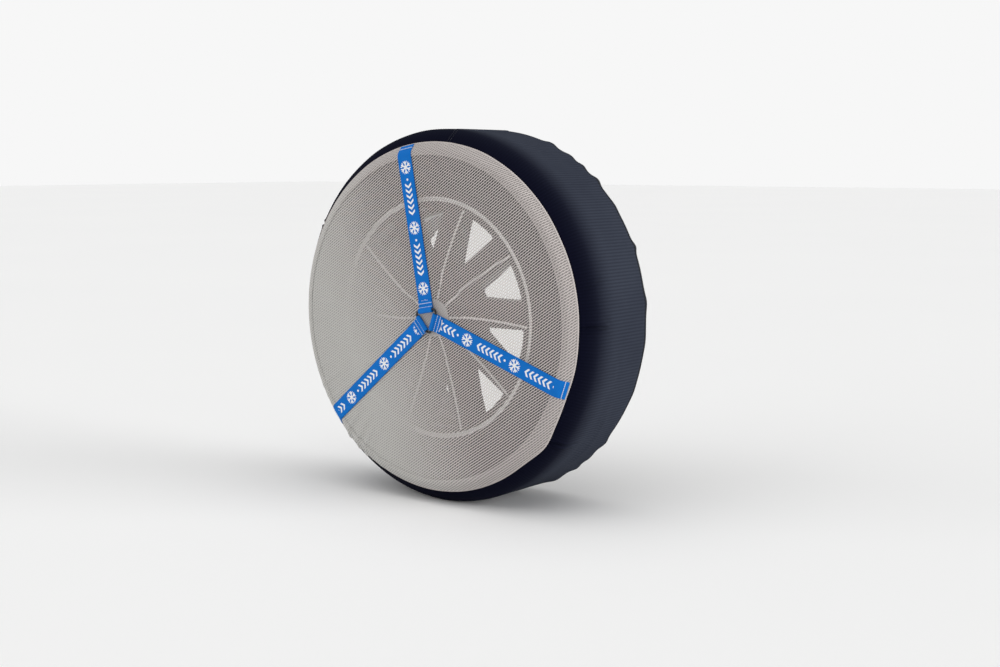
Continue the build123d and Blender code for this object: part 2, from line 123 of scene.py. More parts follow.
# ---- node trees ---------------------------------------------------------------
class Value:
    """A number that varies over a surface. Arithmetic on it adds Math nodes."""

    def __init__(self, finish, socket):
        self.finish, self.socket = finish, socket

    def __add__(self, other):
        return self.finish.maths("ADD", self, other)

    def __sub__(self, other):
        return self.finish.maths("SUBTRACT", self, other)

    def __rsub__(self, other):
        return self.finish.maths("SUBTRACT", other, self)

    def __mul__(self, other):
        return self.finish.maths("MULTIPLY", self, other)

    def __truediv__(self, other):
        return self.finish.maths("DIVIDE", self, other)

    def __rtruediv__(self, other):
        return self.finish.maths("DIVIDE", other, self)

    def __mod__(self, other):
        return self.finish.maths("FLOORED_MODULO", self, other)

    def __neg__(self):
        return self.finish.maths("MULTIPLY", self, -1.0)

    def __abs__(self):
        return self.finish.maths("ABSOLUTE", self)

    def __lt__(self, other):
        return self.finish.maths("LESS_THAN", self, other)

    def __gt__(self, other):
        return self.finish.maths("GREATER_THAN", self, other)

    __radd__ = __add__
    __rmul__ = __mul__


class Finish:
    """One material, built node by node around a Principled shader."""

    def __init__(self, name, **plain):
        self.material = bpy.data.materials.new(name)
        self.material.use_nodes = True
        self.tree = self.material.node_tree
        self.tree.nodes.clear()
        self.shader = self.node("ShaderNodeBsdfPrincipled", values=plain)
        self.node("ShaderNodeOutputMaterial", values={"Surface": self.shader.outputs["BSDF"]})

    def node(self, kind, settings=None, values=None):
        """A node with its settings made first and then its sockets filled or linked."""
        made = self.tree.nodes.new(kind)
        for name, setting in (settings or {}).items():
            if name == "stops":
                for place, colour in setting[1:-1]:
                    made.color_ramp.elements.new(place).color = colour
                for end in (0, -1):
                    made.color_ramp.elements[end].position = setting[end][0]
                    made.color_ramp.elements[end].color = setting[end][1]
            else:
                setattr(made, name, setting)
        for name, value in (values or {}).items():
            self.fill(made.inputs[name], value)
        return made

    def fill(self, socket, value):
        """Links a value to a socket, or sets it there."""
        source = getattr(value, "socket", value)
        if isinstance(source, bpy.types.NodeSocket):
            self.tree.links.new(source, socket)
        else:
            socket.default_value = source

    def wear(self, **values):
        """Fills the shader's sockets, named with underscores for spaces."""
        for name, value in values.items():
            self.fill(self.shader.inputs[name.replace("_", " ")], value)

    def maths(self, operation, *numbers):
        values = dict(enumerate(numbers))
        made = self.node("ShaderNodeMath", {"operation": operation}, values)
        return Value(self, made.outputs[0])

    def place(self):
        """Object coordinates, as three values."""
        return self.parts(self.node("ShaderNodeTexCoord").outputs["Object"])

    def cloth(self):
        """Coordinates laid out in metres along and across the cloth."""
        made = self.node("ShaderNodeUVMap", {"uv_map": "cloth"})
        return self.parts(made.outputs["UV"])[:2]

    def parts(self, vector):
        made = self.node("ShaderNodeSeparateXYZ", values={"Vector": vector})
        return [Value(self, socket) for socket in made.outputs]

    def vector(self, x, y, z=0.0):
        return self.node("ShaderNodeCombineXYZ", values={"X": x, "Y": y, "Z": z}).outputs[0]

    def noise(self, scale, detail=2.0, rough=0.5, at=None):
        values = {"Scale": scale, "Detail": detail, "Roughness": rough}
        where = at or self.node("ShaderNodeTexCoord").outputs["Object"]
        made = self.node("ShaderNodeTexNoise", values={"Vector": where, **values})
        return Value(self, made.outputs["Fac"])

    def ramp(self, value, low, high, least=0.0, most=1.0, smooth=False):
        kind = {"interpolation_type": "SMOOTHSTEP" if smooth else "LINEAR", "clamp": True}
        ends = {"From Min": low, "From Max": high, "To Min": least, "To Max": most}
        made = self.node("ShaderNodeMapRange", kind, {"Value": value, **ends})
        return Value(self, made.outputs[0])

    def mix(self, share, first, second):
        """One colour over another."""
        values = {0: share, 6: opaque(first), 7: opaque(second)}
        made = self.node("ShaderNodeMix", {"data_type": "RGBA"}, values)
        return made.outputs[2]

    def bump(self, height, depth, strength=1.0):
        values = {"Height": height, "Distance": depth, "Strength": strength}
        self.wear(Normal=self.node("ShaderNodeBump", values=values).outputs[0])


def opaque(colour):
    """A colour with its alpha, unless it already comes from a node."""
    return colour if isinstance(colour, bpy.types.NodeSocket) else (*tuple(colour)[:3], 1.0)


def shade(colour, factor):
    return tuple(channel * factor for channel in tuple(colour)[:3])


# ---- finishes -------------------------------------------------------------------
def net_finish(colours, sizes, doubled=False):
    """Open knit: slanting courses of yarn tied by fine cross threads, with real holes, partly
    filled with painted shade.
    """
    name = "doubled knit" if doubled else "open knit"
    finish = Finish(name, Roughness=0.85)
    finish.wear(Sheen_Weight=0.25, Specular_IOR_Level=0.2)
    x, z = finish.cloth()
    slant = sizes.net_slant
    stretch = finish.noise(5.0, 1.0, 0.4) * sizes.net_pitch * 1.5
    along = x * cos(slant) + z * sin(slant) + stretch
    across = z * cos(slant) - x * sin(slant) + stretch
    course = across / sizes.net_pitch
    wale = along / sizes.net_wale
    row = finish.maths("FLOOR", course)
    side = 1.0 - (row % 2.0) * 2.0
    swing = (abs(wale % 1.0 - 0.5) - 0.25) * side * 0.4
    off_yarn = abs(course % 1.0 - 0.5 + swing)
    off_tie = abs(wale % 0.5 - 0.25)
    slack = net_slack_and_light(finish, x, z)
    half = finish.ramp(slack, 0.0, 1.0, sizes.net_yarn / 2, sizes.net_yarn / 2 + 0.10)
    fuzz = finish.noise(900.0, 1.0) * 0.05
    yarn = finish.ramp(off_yarn + fuzz - half, -0.06, 0.08, 1.0, 0.0)
    tie_half = finish.ramp(slack, 0.0, 1.0, 0.05, 0.09)
    tie = finish.ramp(off_tie - tie_half, -0.03, 0.04, 1.0, 0.0)
    cover = finish.maths("MAXIMUM", yarn, tie * 0.55)
    least = finish.ramp(slack, 0.1, 1.0, 0.62 if doubled else 0.08, 0.66)
    alpha = least + cover * (1.0 - least)
    tone = finish.noise(9.0, 3.0)
    pale = finish.mix(tone, shade(colours.net, 0.94), shade(colours.net, 1.06))
    # Painted light: towards the lower left the yarn turns a duller grey and, below, the holes turn
    # paler, so that side looks lighter and more even.
    pale = finish.mix(slack, pale, colours.net_slack_and_light)
    # Painted shade: the part of each hole that is not see-through is coloured dark, less so where
    # the knit is slack.
    shaded_hollow = finish.mix(finish.ramp(slack, 0.0, 1.0, 0.42, 0.14), pale, (0, 0, 0))
    base = finish.mix(finish.ramp(cover, 0.0, 1.0), shaded_hollow, pale)
    finish.wear(Base_Color=base, Alpha=alpha)
    finish.bump(cover + finish.noise(1600.0, 1.0) * 0.3, 0.0003)
    return finish.material


def net_slack_and_light(finish, x, z):
    """1 where the knit is slack and its holes are half closed, 0 where it is pulled open; it rises
    towards the lower left, where it also brings painted light that makes the net lighter and more
    even.
    """
    slope = -x - z * 0.5
    broad = finish.ramp(slope, -0.10, 0.27, smooth=True)
    patches = finish.noise(4.0, 2.0)
    return finish.ramp(broad + patches * 0.3, 0.2, 1.1)


def yarn_finish(name, dark, pale, grain, detail, depth, **plain):
    """Yarn or thread: a fine grain between two shades, also felt as a bump."""
    finish = Finish(name)
    finish.wear(**plain)
    strands = finish.noise(grain, detail)
    finish.wear(Base_Color=finish.mix(strands, dark, pale))
    finish.bump(strands, depth)
    return finish.material


def binding_finish(colours):
    """Overlocked yarn along the seam."""
    shades = shade(colours.net, 0.55), shade(colours.net, 1.15)
    plain = {"Roughness": 0.9, "Specular_IOR_Level": 0.15}
    return yarn_finish("overlocked yarn", *shades, 700.0, 2.0, 0.0003, **plain)


def band_finish(colours, sizes, name="ribbed textile"):
    """Dark ribbed cloth: ribs along the axle, fine weave in them, painted shade in their valleys
    and towards the seam, dusty over the tread.
    """
    finish = Finish(name, Roughness=0.95)
    finish.wear(Specular_IOR_Level=0.04)
    around, along = finish.cloth()
    rib = abs((around / sizes.rib_pitch) % 1.0 - 0.5) * 2.0
    weave_a = abs((around / 0.0011) % 1.0 - 0.5)
    weave_b = abs((along / 0.0013) % 1.0 - 0.5)
    weave = weave_a + weave_b
    y = finish.place()[1]
    # Painted shade: the band darkens towards the seam, where the bevel faces away from the light.
    over_tread = finish.ramp(y, sizes.band_dark_end, sizes.band_pale_start, smooth=True)
    cloudy = finish.noise(7.0, 4.0, 0.6)
    # dust is both: cloudy dust over the tread, and the fade of the painted shade towards the seam.
    dust = over_tread * (0.62 + cloudy * 0.55)
    ground = finish.mix(dust, colours.band_shaded_edge, colours.band_tread)
    raised = rib * 0.75 + weave * 0.35
    # Painted shade in the valleys between the ribs and in the weave.
    between = finish.mix(0.42, ground, (0.0, 0.0, 0.002))
    finish.wear(Base_Color=finish.mix(raised, between, ground))
    finish.bump(raised * 0.6 + finish.noise(1500.0, 1.0) * 0.3, 0.0004, 0.9)
    return finish.material


def skirt_finish(colours):
    """Dark stretch knit of fine wales, running from the crown to the hem, with painted shade
    between its wales and loops.
    """
    finish = Finish("stretch knit", Roughness=0.9)
    finish.wear(Sheen_Weight=0.1, Specular_IOR_Level=0.15)
    around, along = finish.cloth()
    wale = abs((around / 0.0019) % 1.0 - 0.5) * 2.0
    loop = abs((along / 0.0016 + wale * 0.5) % 1.0 - 0.5) * 2.0
    knit = wale * 0.6 + loop * 0.4
    tone = finish.noise(11.0, 3.0)
    ground = finish.mix(tone, shade(colours.skirt, 0.75), shade(colours.skirt, 1.3))
    # Painted shade: darker between the wales and loops of the knit.
    finish.wear(Base_Color=finish.mix(knit, finish.mix(0.5, ground, (0, 0, 0)), ground))
    finish.bump(knit, 0.0004)
    return finish.material


def webbing_finish(colours, sizes):
    """Blue woven webbing with a printed row of snowflakes and slanting bars, and painted shade in
    its weave.
    """
    finish = Finish("printed webbing", Roughness=0.7)
    finish.wear(Specular_IOR_Level=0.12)
    along, across = finish.cloth()
    weft = abs((along / 0.00095) % 1.0 - 0.5) * 2.0
    warp = abs((across / 0.0012 + finish.maths("FLOOR", along / 0.00095) * 0.5) % 1.0 - 0.5) * 2.0
    weave = weft * 0.6 + warp * 0.4
    edge = finish.ramp(abs(across), STRAP_WIDTH * 0.44, STRAP_WIDTH * 0.5)
    tone = finish.noise(26.0, 3.0)
    blue = finish.mix(tone, shade(colours.webbing, 0.86), shade(colours.webbing, 1.14))
    # Painted shade: darker in the valleys of the weave.
    blue = finish.mix(weave, finish.mix(0.3, blue, (0, 0, 0)), blue)
    blue = finish.mix(edge * 0.45, blue, shade(colours.webbing, 0.6))
    print_mask = strap_print(finish, along, across, sizes)
    worn = finish.ramp(finish.noise(420.0, 2.0), 0.28, 0.4, 0.75, 1.0)
    x, _, z = finish.place()
    reach = finish.maths("SQRT", x * x + z * z)
    print_mask = print_mask * (reach < sizes.print_outer) * (reach > sizes.print_inner)
    finish.wear(Base_Color=finish.mix(print_mask * worn, blue, colours.print_white))
    finish.bump(weave + print_mask * 0.25, 0.00025)
    return finish.material


def strap_print(finish, along, across, sizes):
    """1 on the print: in each repeat a six-armed snowflake, then slanting bars between dots."""
    repeat = sizes.print_repeat
    at = along % repeat
    flake = snowflake(finish, at - sizes.flake_size, across, sizes.flake_size * 0.7)
    bars_start, bars_end = sizes.flake_size * 2.25, repeat - 0.014
    leaning = at - bars_start - abs(across) * tan(radians(38.0))
    pitch = (bars_end - bars_start) / 6
    bar = (abs(leaning % pitch - pitch / 2) < 0.0021) * (abs(across) < 0.0068)
    bar = bar * (leaning > 0.0) * (leaning < bars_end - bars_start)
    gap = bars_end + 0.0085
    dot = finish.maths("POWER", at - gap, 2.0) + finish.maths("POWER", across, 2.0)
    dot = dot < 0.0021 ** 2
    return finish.maths("MAXIMUM", finish.maths("MAXIMUM", flake, bar), dot)


def snowflake(finish, x, y, size):
    """1 on a snowflake of that radius: six arms, each with one pair of side branches."""
    turn = finish.maths("ARCTAN2", y, x)
    sixth = abs((turn + pi / 6) % (pi / 3) - pi / 6)
    reach = finish.maths("SQRT", x * x + y * y)
    out = reach * finish.maths("COSINE", sixth)
    side = reach * finish.maths("SINE", sixth)
    arm = (side < size * 0.12) * (out < size)
    branch = (abs(out - side * 1.1 - size * 0.52) < size * 0.12) * (side < size * 0.38)
    return finish.maths("MAXIMUM", arm, branch)


def thread_finish(colours, name="sewing thread", tint=None):
    """Twisted sewing thread."""
    own = tint or colours.thread
    shades = shade(own, 0.8), shade(own, 1.1)
    return yarn_finish(name, *shades, 2200.0, 1.0, 0.0002, Roughness=0.7, Sheen_Weight=0.3)


def tyre_finish(colours):
    """Matt black rubber, greyer where it has been scuffed."""
    finish = Finish("tyre rubber", Roughness=0.75)
    finish.wear(Specular_IOR_Level=0.35)
    scuffs = finish.ramp(finish.noise(34.0, 5.0, 0.65), 0.42, 0.72)
    base = finish.mix(scuffs, colours.rubber, shade(colours.rubber, 2.1))
    rough = finish.ramp(scuffs, 0.0, 1.0, 0.62, 0.86)
    finish.wear(Base_Color=base, Roughness=rough)
    finish.bump(finish.noise(900.0, 3.0), 0.0003, 0.6)
    return finish.material


def wheel_paint(name, colours, shades, bright_part):
    """Dusty dark paint with one part of the casting turned bright."""
    finish = Finish(name, Metallic=0.2)
    x, y, z = finish.place()
    radius = finish.maths("SQRT", x * x + z * z)
    bright = bright_part(finish, radius, (x, y, z))
    flake = finish.noise(2400.0, 1.0)
    paint = finish.mix(flake, *(shade(colours.alloy, factor) for factor in shades))
    dirt = finish.ramp(finish.noise(16.0, 4.0), 0.45, 0.75) * 0.35
    return finish, radius, bright, flake, dirt, finish.mix(dirt, paint, colours.grime)


def alloy_finish(colours):
    """Dark painted wheel face with bright machined ridges along its spokes."""
    name = "painted and machined alloy"
    made = wheel_paint(name, colours, (0.8, 1.25), spoke_ridges)
    finish, radius, ridge, flake, dirt, paint = made
    lathe = finish.noise(1.0, 2.0, at=finish.vector(radius * 2600.0, 0.0))
    turned = finish.mix(lathe, shade(colours.machined, 0.85), colours.machined)
    finish.wear(Base_Color=finish.mix(ridge, paint, turned))
    finish.wear(Roughness=finish.ramp(ridge + dirt, 0.0, 1.0, 0.42, 0.3))
    finish.wear(Metallic=finish.ramp(ridge, 0.0, 1.0, 0.2, 0.0))
    finish.bump(lathe * ridge + flake * 0.2, 0.0001)
    return finish.material


def spoke_ridges(finish, radius, place):
    """1 on the ridges, which run on as bright lines over the flat of the hub."""
    x, y, z = place
    ridge = finish.ramp(spoke_face(finish, radius) - y, 0.0005, 0.0010)
    turn = finish.maths("ARCTAN2", x, z) - radians(RIDGE_START)
    beside = (turn + pi / SPOKES) % (2 * pi / SPOKES) - pi / SPOKES
    line = finish.ramp(abs(radius * finish.maths("SINE", beside)), 0.0016, 0.0020, 1.0, 0.0)
    on_hub = (radius < 0.0755) * (radius > 0.033) * (y < hub_front() + 0.002)
    return finish.maths("MAXIMUM", ridge, line * on_hub)


def spoke_face(finish, radius):
    """How far along Y the painted face of the spokes lies, at a radius."""
    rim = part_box("wheel_rim")[0].y + 0.003
    return finish.ramp(radius, 0.072, 0.1965, hub_front(), rim)


def hub_front():
    """Where along Y the flat face of the hub lies."""
    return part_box("centre_cap")[0].y + 0.0034


def rim_finish(colours):
    """Dark painted rim with a bright ring where the lip meets its flange: turned metal, and also a
    painted highlight along the lip's edge.
    """

    def turned_edge_and_highlight(finish, radius, place):
        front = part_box("wheel_rim")[0].y
        # Bright turned metal on this ring, which also stands in as a painted highlight on the lip's
        # edge.
        off = abs(radius - colours.rim_edge_r)
        edge = finish.ramp(off, 0.0032, 0.0040, 1.0, 0.0)
        return edge * finish.ramp(place[1], front + 0.004, front + 0.008, 1.0, 0.0)

    made = wheel_paint("painted rim", colours, (0.9, 1.6), turned_edge_and_highlight)
    finish, radius, edge, flake, dirt, paint = made
    finish.wear(Base_Color=finish.mix(edge, paint, colours.machined))
    finish.wear(Roughness=finish.ramp(edge + dirt, 0.0, 1.0, 0.45, 0.35))
    finish.bump(flake, 0.00006)
    return finish.material


def metal_finish(name, colour, rough, metallic=1.0, grain=600.0):
    """Satin metal with a fine grain and faint handling marks."""
    finish = Finish(name, Metallic=metallic)
    fine = finish.noise(grain, 2.0)
    marks = finish.ramp(finish.noise(40.0, 5.0, 0.7), 0.45, 0.7)
    finish.wear(Base_Color=finish.mix(marks * 0.5, colour, shade(colour, 0.7)))
    finish.wear(Roughness=finish.ramp(fine + marks * 0.4, 0.2, 1.2, rough - 0.06, rough + 0.14))
    finish.bump(fine, 0.00008)
    return finish.material


def plastic_finish(name, colour, rough, grain=900.0):
    """Moulded plastic or rubber with a fine texture."""
    finish = Finish(name)
    fine = finish.noise(grain, 3.0)
    wear = finish.ramp(finish.noise(60.0, 4.0, 0.6), 0.5, 0.75)
    rubbed = finish.mix(0.25, colour, (0.4, 0.4, 0.4))
    finish.wear(Base_Color=finish.mix(wear * 0.6, colour, rubbed))
    finish.wear(Roughness=finish.ramp(wear, 0.0, 1.0, rough, rough + 0.15))
    finish.bump(fine, 0.0001)
    return finish.material


def elastic_finish(colours):
    """Braided elastic tape."""
    shades = shade(colours.thread, 0.7), colours.thread
    return yarn_finish("braided elastic", *shades, 500.0, 2.0, 0.0003, Roughness=0.8)


# ---- shapes ---------------------------------------------------------------------
class Course:
    """A line in the wheel's half plane with rounded corners, as (radius, y) points."""

    def __init__(self, corners, bends, arc_steps=10):
        corners = [np.array(point, float) for point in corners]
        line = [corners[0]]
        for before, here, after, bend in zip(corners, corners[1:], corners[2:], bends):
            back, on = unit(before - here), unit(after - here)
            half = np.arccos(np.clip(back @ on, -1, 1)) / 2
            middle = here + unit(back + on) * bend / np.sin(half)
            ends = [here + way * bend / np.tan(half) - middle for way in (back, on)]
            swing = pi - 2 * half
            for share in np.linspace(0, 1, arc_steps + 1):
                weights = np.sin([(1 - share) * swing, share * swing]) / np.sin(swing)
                line.append(middle + weights[0] * ends[0] + weights[1] * ends[1])
        line.append(corners[-1])
        self.line = np.array(line)
        steps = np.diff(self.line, axis=0)
        self.s = np.concatenate([[0.0], np.cumsum(np.hypot(*steps.T))])
        across = np.stack([steps[:, 1], -steps[:, 0]], 1)
        across /= np.linalg.norm(across, axis=1)[:, None]
        normals = np.concatenate([across[:1], across[:-1] + across[1:], across[-1:]])
        self.normals = normals / np.linalg.norm(normals, axis=1)[:, None]
        self.length = self.s[-1]

    def at(self, s, lift=0.0):
        """Radius and y at a distance along the line, lifted off it to the outside."""
        r, y, nr, ny = (
            np.interp(s, self.s, column)
            for column in (*self.line.T, *self.normals.T)
        )
        size = np.hypot(nr, ny)
        return r + lift * nr / size, y + lift * ny / size

    def where(self, y, start=0.0):
        """Distance along the line at which it reaches a y, past a start."""
        begin = max(int(np.searchsorted(self.s, start)) - 1, 0)
        return float(np.interp(y, self.line[begin:, 1], self.s[begin:]))


def unit(vector):
    return vector / np.linalg.norm(vector)


SOCK = Course(
    [
        (0.0, -NET_Y),
        (NET_CORNER, -NET_Y),
        (CROWN_R, -CROWN_HALF),
        (CROWN_R, CROWN_HALF),
        (NET_CORNER, NET_Y),
        (REAR_HEM_R, REAR_HEM_Y + SKIRT_THICK),
    ],
    [NET_BEND, CROWN_BEND, CROWN_BEND, CROWN_BEND],
)
SEAM_S = float(np.interp(SEAM_R, SOCK.line[:14, 0], SOCK.s[:14]))
REAR_S = SOCK.where(SKIRT_START, SEAM_S)
CORNER_S = SOCK.where(CROWN_HALF, SEAM_S)


def grid_faces(columns, rows, closed):
    """Quads of a grid whose columns go round and whose rows go along."""
    last = columns if closed else columns - 1
    i, j = np.meshgrid(np.arange(last), np.arange(rows - 1), indexing="ij")
    i, j = i.ravel(), j.ravel()
    on = (i + 1) % columns
    quads = np.stack([i * rows + j, i * rows + j + 1, on * rows + j + 1, on * rows + j], 1)
    return quads, i, j


def mesh_object(name, points, faces, uvs=None):
    """An object from points, faces and, per face corner, cloth coordinates."""
    mesh = bpy.data.meshes.new(name)
    mesh.from_pydata(np.asarray(points).tolist(), [], [list(map(int, face)) for face in faces])
    if uvs is not None:
        layer = mesh.uv_layers.new(name="cloth")
        layer.uv.foreach_set("vector", np.concatenate([np.ravel(uv) for uv in uvs]))
    mesh.validate()
    mesh.shade_smooth()
    made = bpy.data.objects.new(name, mesh)
    bpy.context.scene.collection.objects.link(made)
    return made


def skin(name, first, last, rows, columns, lift, thick, turn=(0.0, 2 * pi), polar=False):
    """A layer of cloth on the sock's course, turned about the axle.

    first and last give where it starts and ends along the course at each
    angle. lift gives its outer face's height there. With no thickness the
    layer is a single surface.
    """
    closed = turn[1] - turn[0] > 6.28
    angle = np.linspace(turn[0], turn[1], columns, endpoint=not closed)[:, None]
    share = np.linspace(0, 1, rows)[None, :]
    start, end = first(angle), last(angle)
    s = start + (end - start) * share
    angle = angle + 0 * s
    height = lift(angle, s)
    layers = []
    for depth in (0.0, thick) if thick else (0.0,):
        r, y = SOCK.at(s, height - depth)
        layers.append(turned(r, angle, y).reshape(-1, 3))
    quads, i, j = grid_faces(columns, rows, closed)
    step = (turn[1] - turn[0]) / (columns if closed else columns - 1)

    def cloth_at(column, row):
        here = turn[0] + column * step
        along = s[column % columns, row]
        if polar:
            return np.stack([along * np.sin(here), along * np.cos(here)], -1)
        return np.stack([here * CROWN_R, along], -1)

    corners = ((0, 0), (0, 1), (1, 1), (1, 0))
    corner_uvs = np.stack([cloth_at(i + a, j + b) for a, b in corners], 1)
    if not thick:
        return mesh_object(name, layers[0], quads, [corner_uvs])
    under = quads[:, ::-1] + rows * columns
    faces, uvs = [quads, under], [corner_uvs, corner_uvs[:, ::-1]]
    for row in (0, rows - 1):
        rim = quads[j == min(row, rows - 2)]
        near, far = (rim[:, 0], rim[:, 3]) if row == 0 else (rim[:, 2], rim[:, 1])
        faces.append(np.stack([near, far, far + rows * columns, near + rows * columns], 1))
        uvs.append(corner_uvs[j == min(row, rows - 2)])
    if not closed:
        for column in (0, columns - 1):
            chain = column * rows + np.arange(rows - 1)
            a, b = (chain + 1, chain) if column == 0 else (chain, chain + 1)
            faces.append(np.stack([a, b, b + rows * columns, a + rows * columns], 1))
            uvs.append(corner_uvs[: rows - 1])
    return mesh_object(name, np.concatenate(layers), np.concatenate(faces), uvs)


def ring_mesh(name, points, uvs=None, inward=False):
    """A tube that closes on itself: points by place round the axle and round the tube."""
    columns, sides = points.shape[:2]
    i, j = (grid.ravel() for grid in np.meshgrid(range(columns), range(sides), indexing="ij"))
    on, up = (i + 1) % columns, (j + 1) % sides
    faces = np.stack([i * sides + j, i * sides + up, on * sides + up, on * sides + j], 1)
    order = [0, 3, 2, 1] if inward else [0, 1, 2, 3]
    return mesh_object(name, points.reshape(-1, 3), faces[:, order], uvs)


def tube_angles(columns, sides):
    """Angles round the axle, down, and round the tube, across."""
    counts = (columns, sides)
    angle, about = (np.linspace(0, 2 * pi, count, endpoint=False) for count in counts)
    return angle[:, None], about[None, :]


def turned(r, angle, y):
    """Points at radii and heights, turned about the axle."""
    return np.stack([r * np.sin(angle), y + 0 * angle, r * np.cos(angle)], -1)


def turned_body(name, outline, columns):
    """A closed (radius, y) outline turned about the axle."""
    r, y = np.array(outline).T
    angle = np.linspace(0, 2 * pi, columns, endpoint=False)[:, None]
    return ring_mesh(name, turned(r, angle, y))


def stitch_run(name, places, length=0.0024, thick=0.0007, sides=6):
    """Sewn stitches: each place gives a middle, a run direction and an outward direction."""
    rings = np.linspace(-1, 1, 6)
    points, faces = [], []
    for middle, run, out in places:
        middle, run, out = (np.array(v, float) for v in (middle, run, out))
        side = np.cross(run, out)
        base = len(points)
        for t in rings:
            core = middle + run * t * length / 2 + out * thick * (0.35 - 0.75 * t * t)
            girth = thick / 2 * (1.0 - 0.35 * t * t)
            for k in range(sides):
                a = 2 * pi * k / sides
                points.append(core + girth * (side * cos(a) + out * sin(a)))
        for ring in range(len(rings) - 1):
            for k in range(sides):
                a, b = base + ring * sides + k, base + ring * sides + (k + 1) % sides
                faces.append((a, b, b + sides, a + sides))
        faces.append(tuple(range(base + sides - 1, base - 1, -1)))
        top = base + (len(rings) - 1) * sides
        faces.append(tuple(range(top, top + sides)))
    return mesh_object(name, points, faces)


def coil(foot, axis, length, radius, wire, turns, steps=28, sides=8):
    """Points and faces of a round-wire spring that stands on a foot along an axis."""
    axis = np.array(axis)
    across = unit(np.cross(axis, (0.0, 0.0, 1.0)))
    third = np.cross(axis, across)
    points, faces = [], []
    count = turns * steps + 1
    for k in range(count):
        a = 2 * pi * k / steps
        out = across * cos(a) + third * sin(a)
        rise = wire + (length - 2 * wire) * k / (count - 1)
        for j in range(sides):
            b = 2 * pi * j / sides
            ring = out * (radius + wire * cos(b)) + axis * (rise + wire * sin(b))
            points.append(np.array(foot) + ring)
    for k in range(count - 1):
        for j in range(sides):
            up = (j + 1) % sides
            faces.append((k * sides + j, (k + 1) * sides + j, (k + 1) * sides + up, k * sides + up))
    last = (count - 1) * sides
    faces.append(tuple(range(sides)))
    faces.append(tuple(range(last + sides - 1, last - 1, -1)))
    return points, faces


def around(radius, degrees_on, y):
    """A point at a clockwise angle from the top, seen from the net side."""
    a = radians(degrees_on)
    return np.array([radius * sin(a), y, radius * cos(a)])


def wrapped(angle, middle):
    """Angle from a middle angle in degrees, the short way round, in degrees."""
    return (np.degrees(angle) - middle + 180.0) % 360.0 - 180.0


def ripple(angle, seed, waves, spread=1.0):
    """A smooth uneven wave round the wheel, about -1 to 1."""
    draw = np.random.default_rng(seed)
    total = 0.0 * angle
    for count in waves:
        total = total + np.sin(count * angle + draw.uniform(0, 2 * pi)) * draw.uniform(0.5, 1.0)
    return total * spread / len(waves)


def crease(angle, s, start, end, depth, width):
    """A pressed-in fold with soft shoulders between two (degrees, y in mm) points of the band."""
    ends = [
        np.array([radians(turn) * CROWN_R, SOCK.where(y / 1000.0, SEAM_S)])
        for turn, y in (start, end)
    ]
    around_m = ends[0][0] + np.radians(wrapped(angle, start[0])) * CROWN_R
    run = ends[1] - ends[0]
    size = np.hypot(*run)
    da, ds = around_m - ends[0][0], s - ends[0][1]
    share = np.clip((da * run[0] + ds * run[1]) / size**2, 0, 1)
    bow = np.sin(share * pi) * size * 0.06
    off = (da * run[1] - ds * run[0]) / size + bow
    past = np.hypot(da - share * run[0], ds - share * run[1])
    near = np.where((share > 0) & (share < 1), np.abs(off), past)
    fade = np.sin(np.clip(share, 0.02, 0.98) * pi) ** 0.5
    groove = -np.exp(-((near / width) ** 2))
    shoulder = 0.7 * np.exp(-(((near - 2.0 * width) / (1.1 * width)) ** 2))
    return depth * fade * (groove + shoulder)


def seam_shift(angle):
    """How far along the sock the net's seam strays from its circle."""
    pulled = -0.0016 * np.exp(-((wrapped(angle, 112.0) / 7.0) ** 2))
    flat = 0.0062 * np.exp(-((wrapped(angle, 130.0) / 6.5) ** 2))
    loose = np.exp(-((wrapped(angle, -138.0) / 22.0) ** 2))
    wander = 0.0006 * ripple(angle, 5, (7, 13, 22))
    wander = wander + 0.0011 * loose * ripple(angle, 6, (31, 47, 64))
    slipped = 0.0125 * np.exp(-((wrapped(angle, -139.0) / 11.0) ** 2))
    return pulled + flat + slipped + wander


def net_edge(angle):
    """Where the net ends along the sock, at the seam."""
    return SEAM_S - SEAM_GAP + seam_shift(angle)


def level(s):
    """The same distance along the sock all the way round."""
    return lambda angle: s + 0 * angle


def net_lift(angle, s):
    """Wrinkles of the net, all outward of its flat face."""
    reach = np.clip((s - 0.19) / 0.10, 0, 1)
    loose = np.exp(-((wrapped(angle, -139.0) / 20.0) ** 2))
    pleats = ripple(angle + 0.25 * (s - 0.28), 8, (58, 83, 111), 1.7)
    height = 0.0034 * loose * reach**2 * np.clip(0.3 + pleats, 0, 1.2)
    height = height * (1 - beside_straps(angle))
    for middle, width, rise, inner, outer in (
        (43.0, 0.9, 0.0012, 0.235, 0.300),
        (159.0, 1.0, 0.0011, 0.205, 0.300),
        (75.0, 0.8, 0.0007, 0.250, 0.300),
    ):
        along = np.clip((s - inner) / 0.02, 0, 1) * np.clip((outer - s) / 0.01, 0, 1)
        height = height + rise * along * np.exp(-((wrapped(angle, middle) / width) ** 2))
    return height + 0.0002 * (1 + ripple(angle, 12, (9, 17, 29))) * reach


def beside_straps(angle):
    """1 under a strap, falling to 0 a little way beside it."""
    total = 0.0 * angle
    for i in range(len(SIDES)):
        off = np.abs(wrapped(angle, FIRST_STRAP + 120.0 * i))
        total = total + np.clip(1.9 - off / 4.0, 0, 1)
    return total


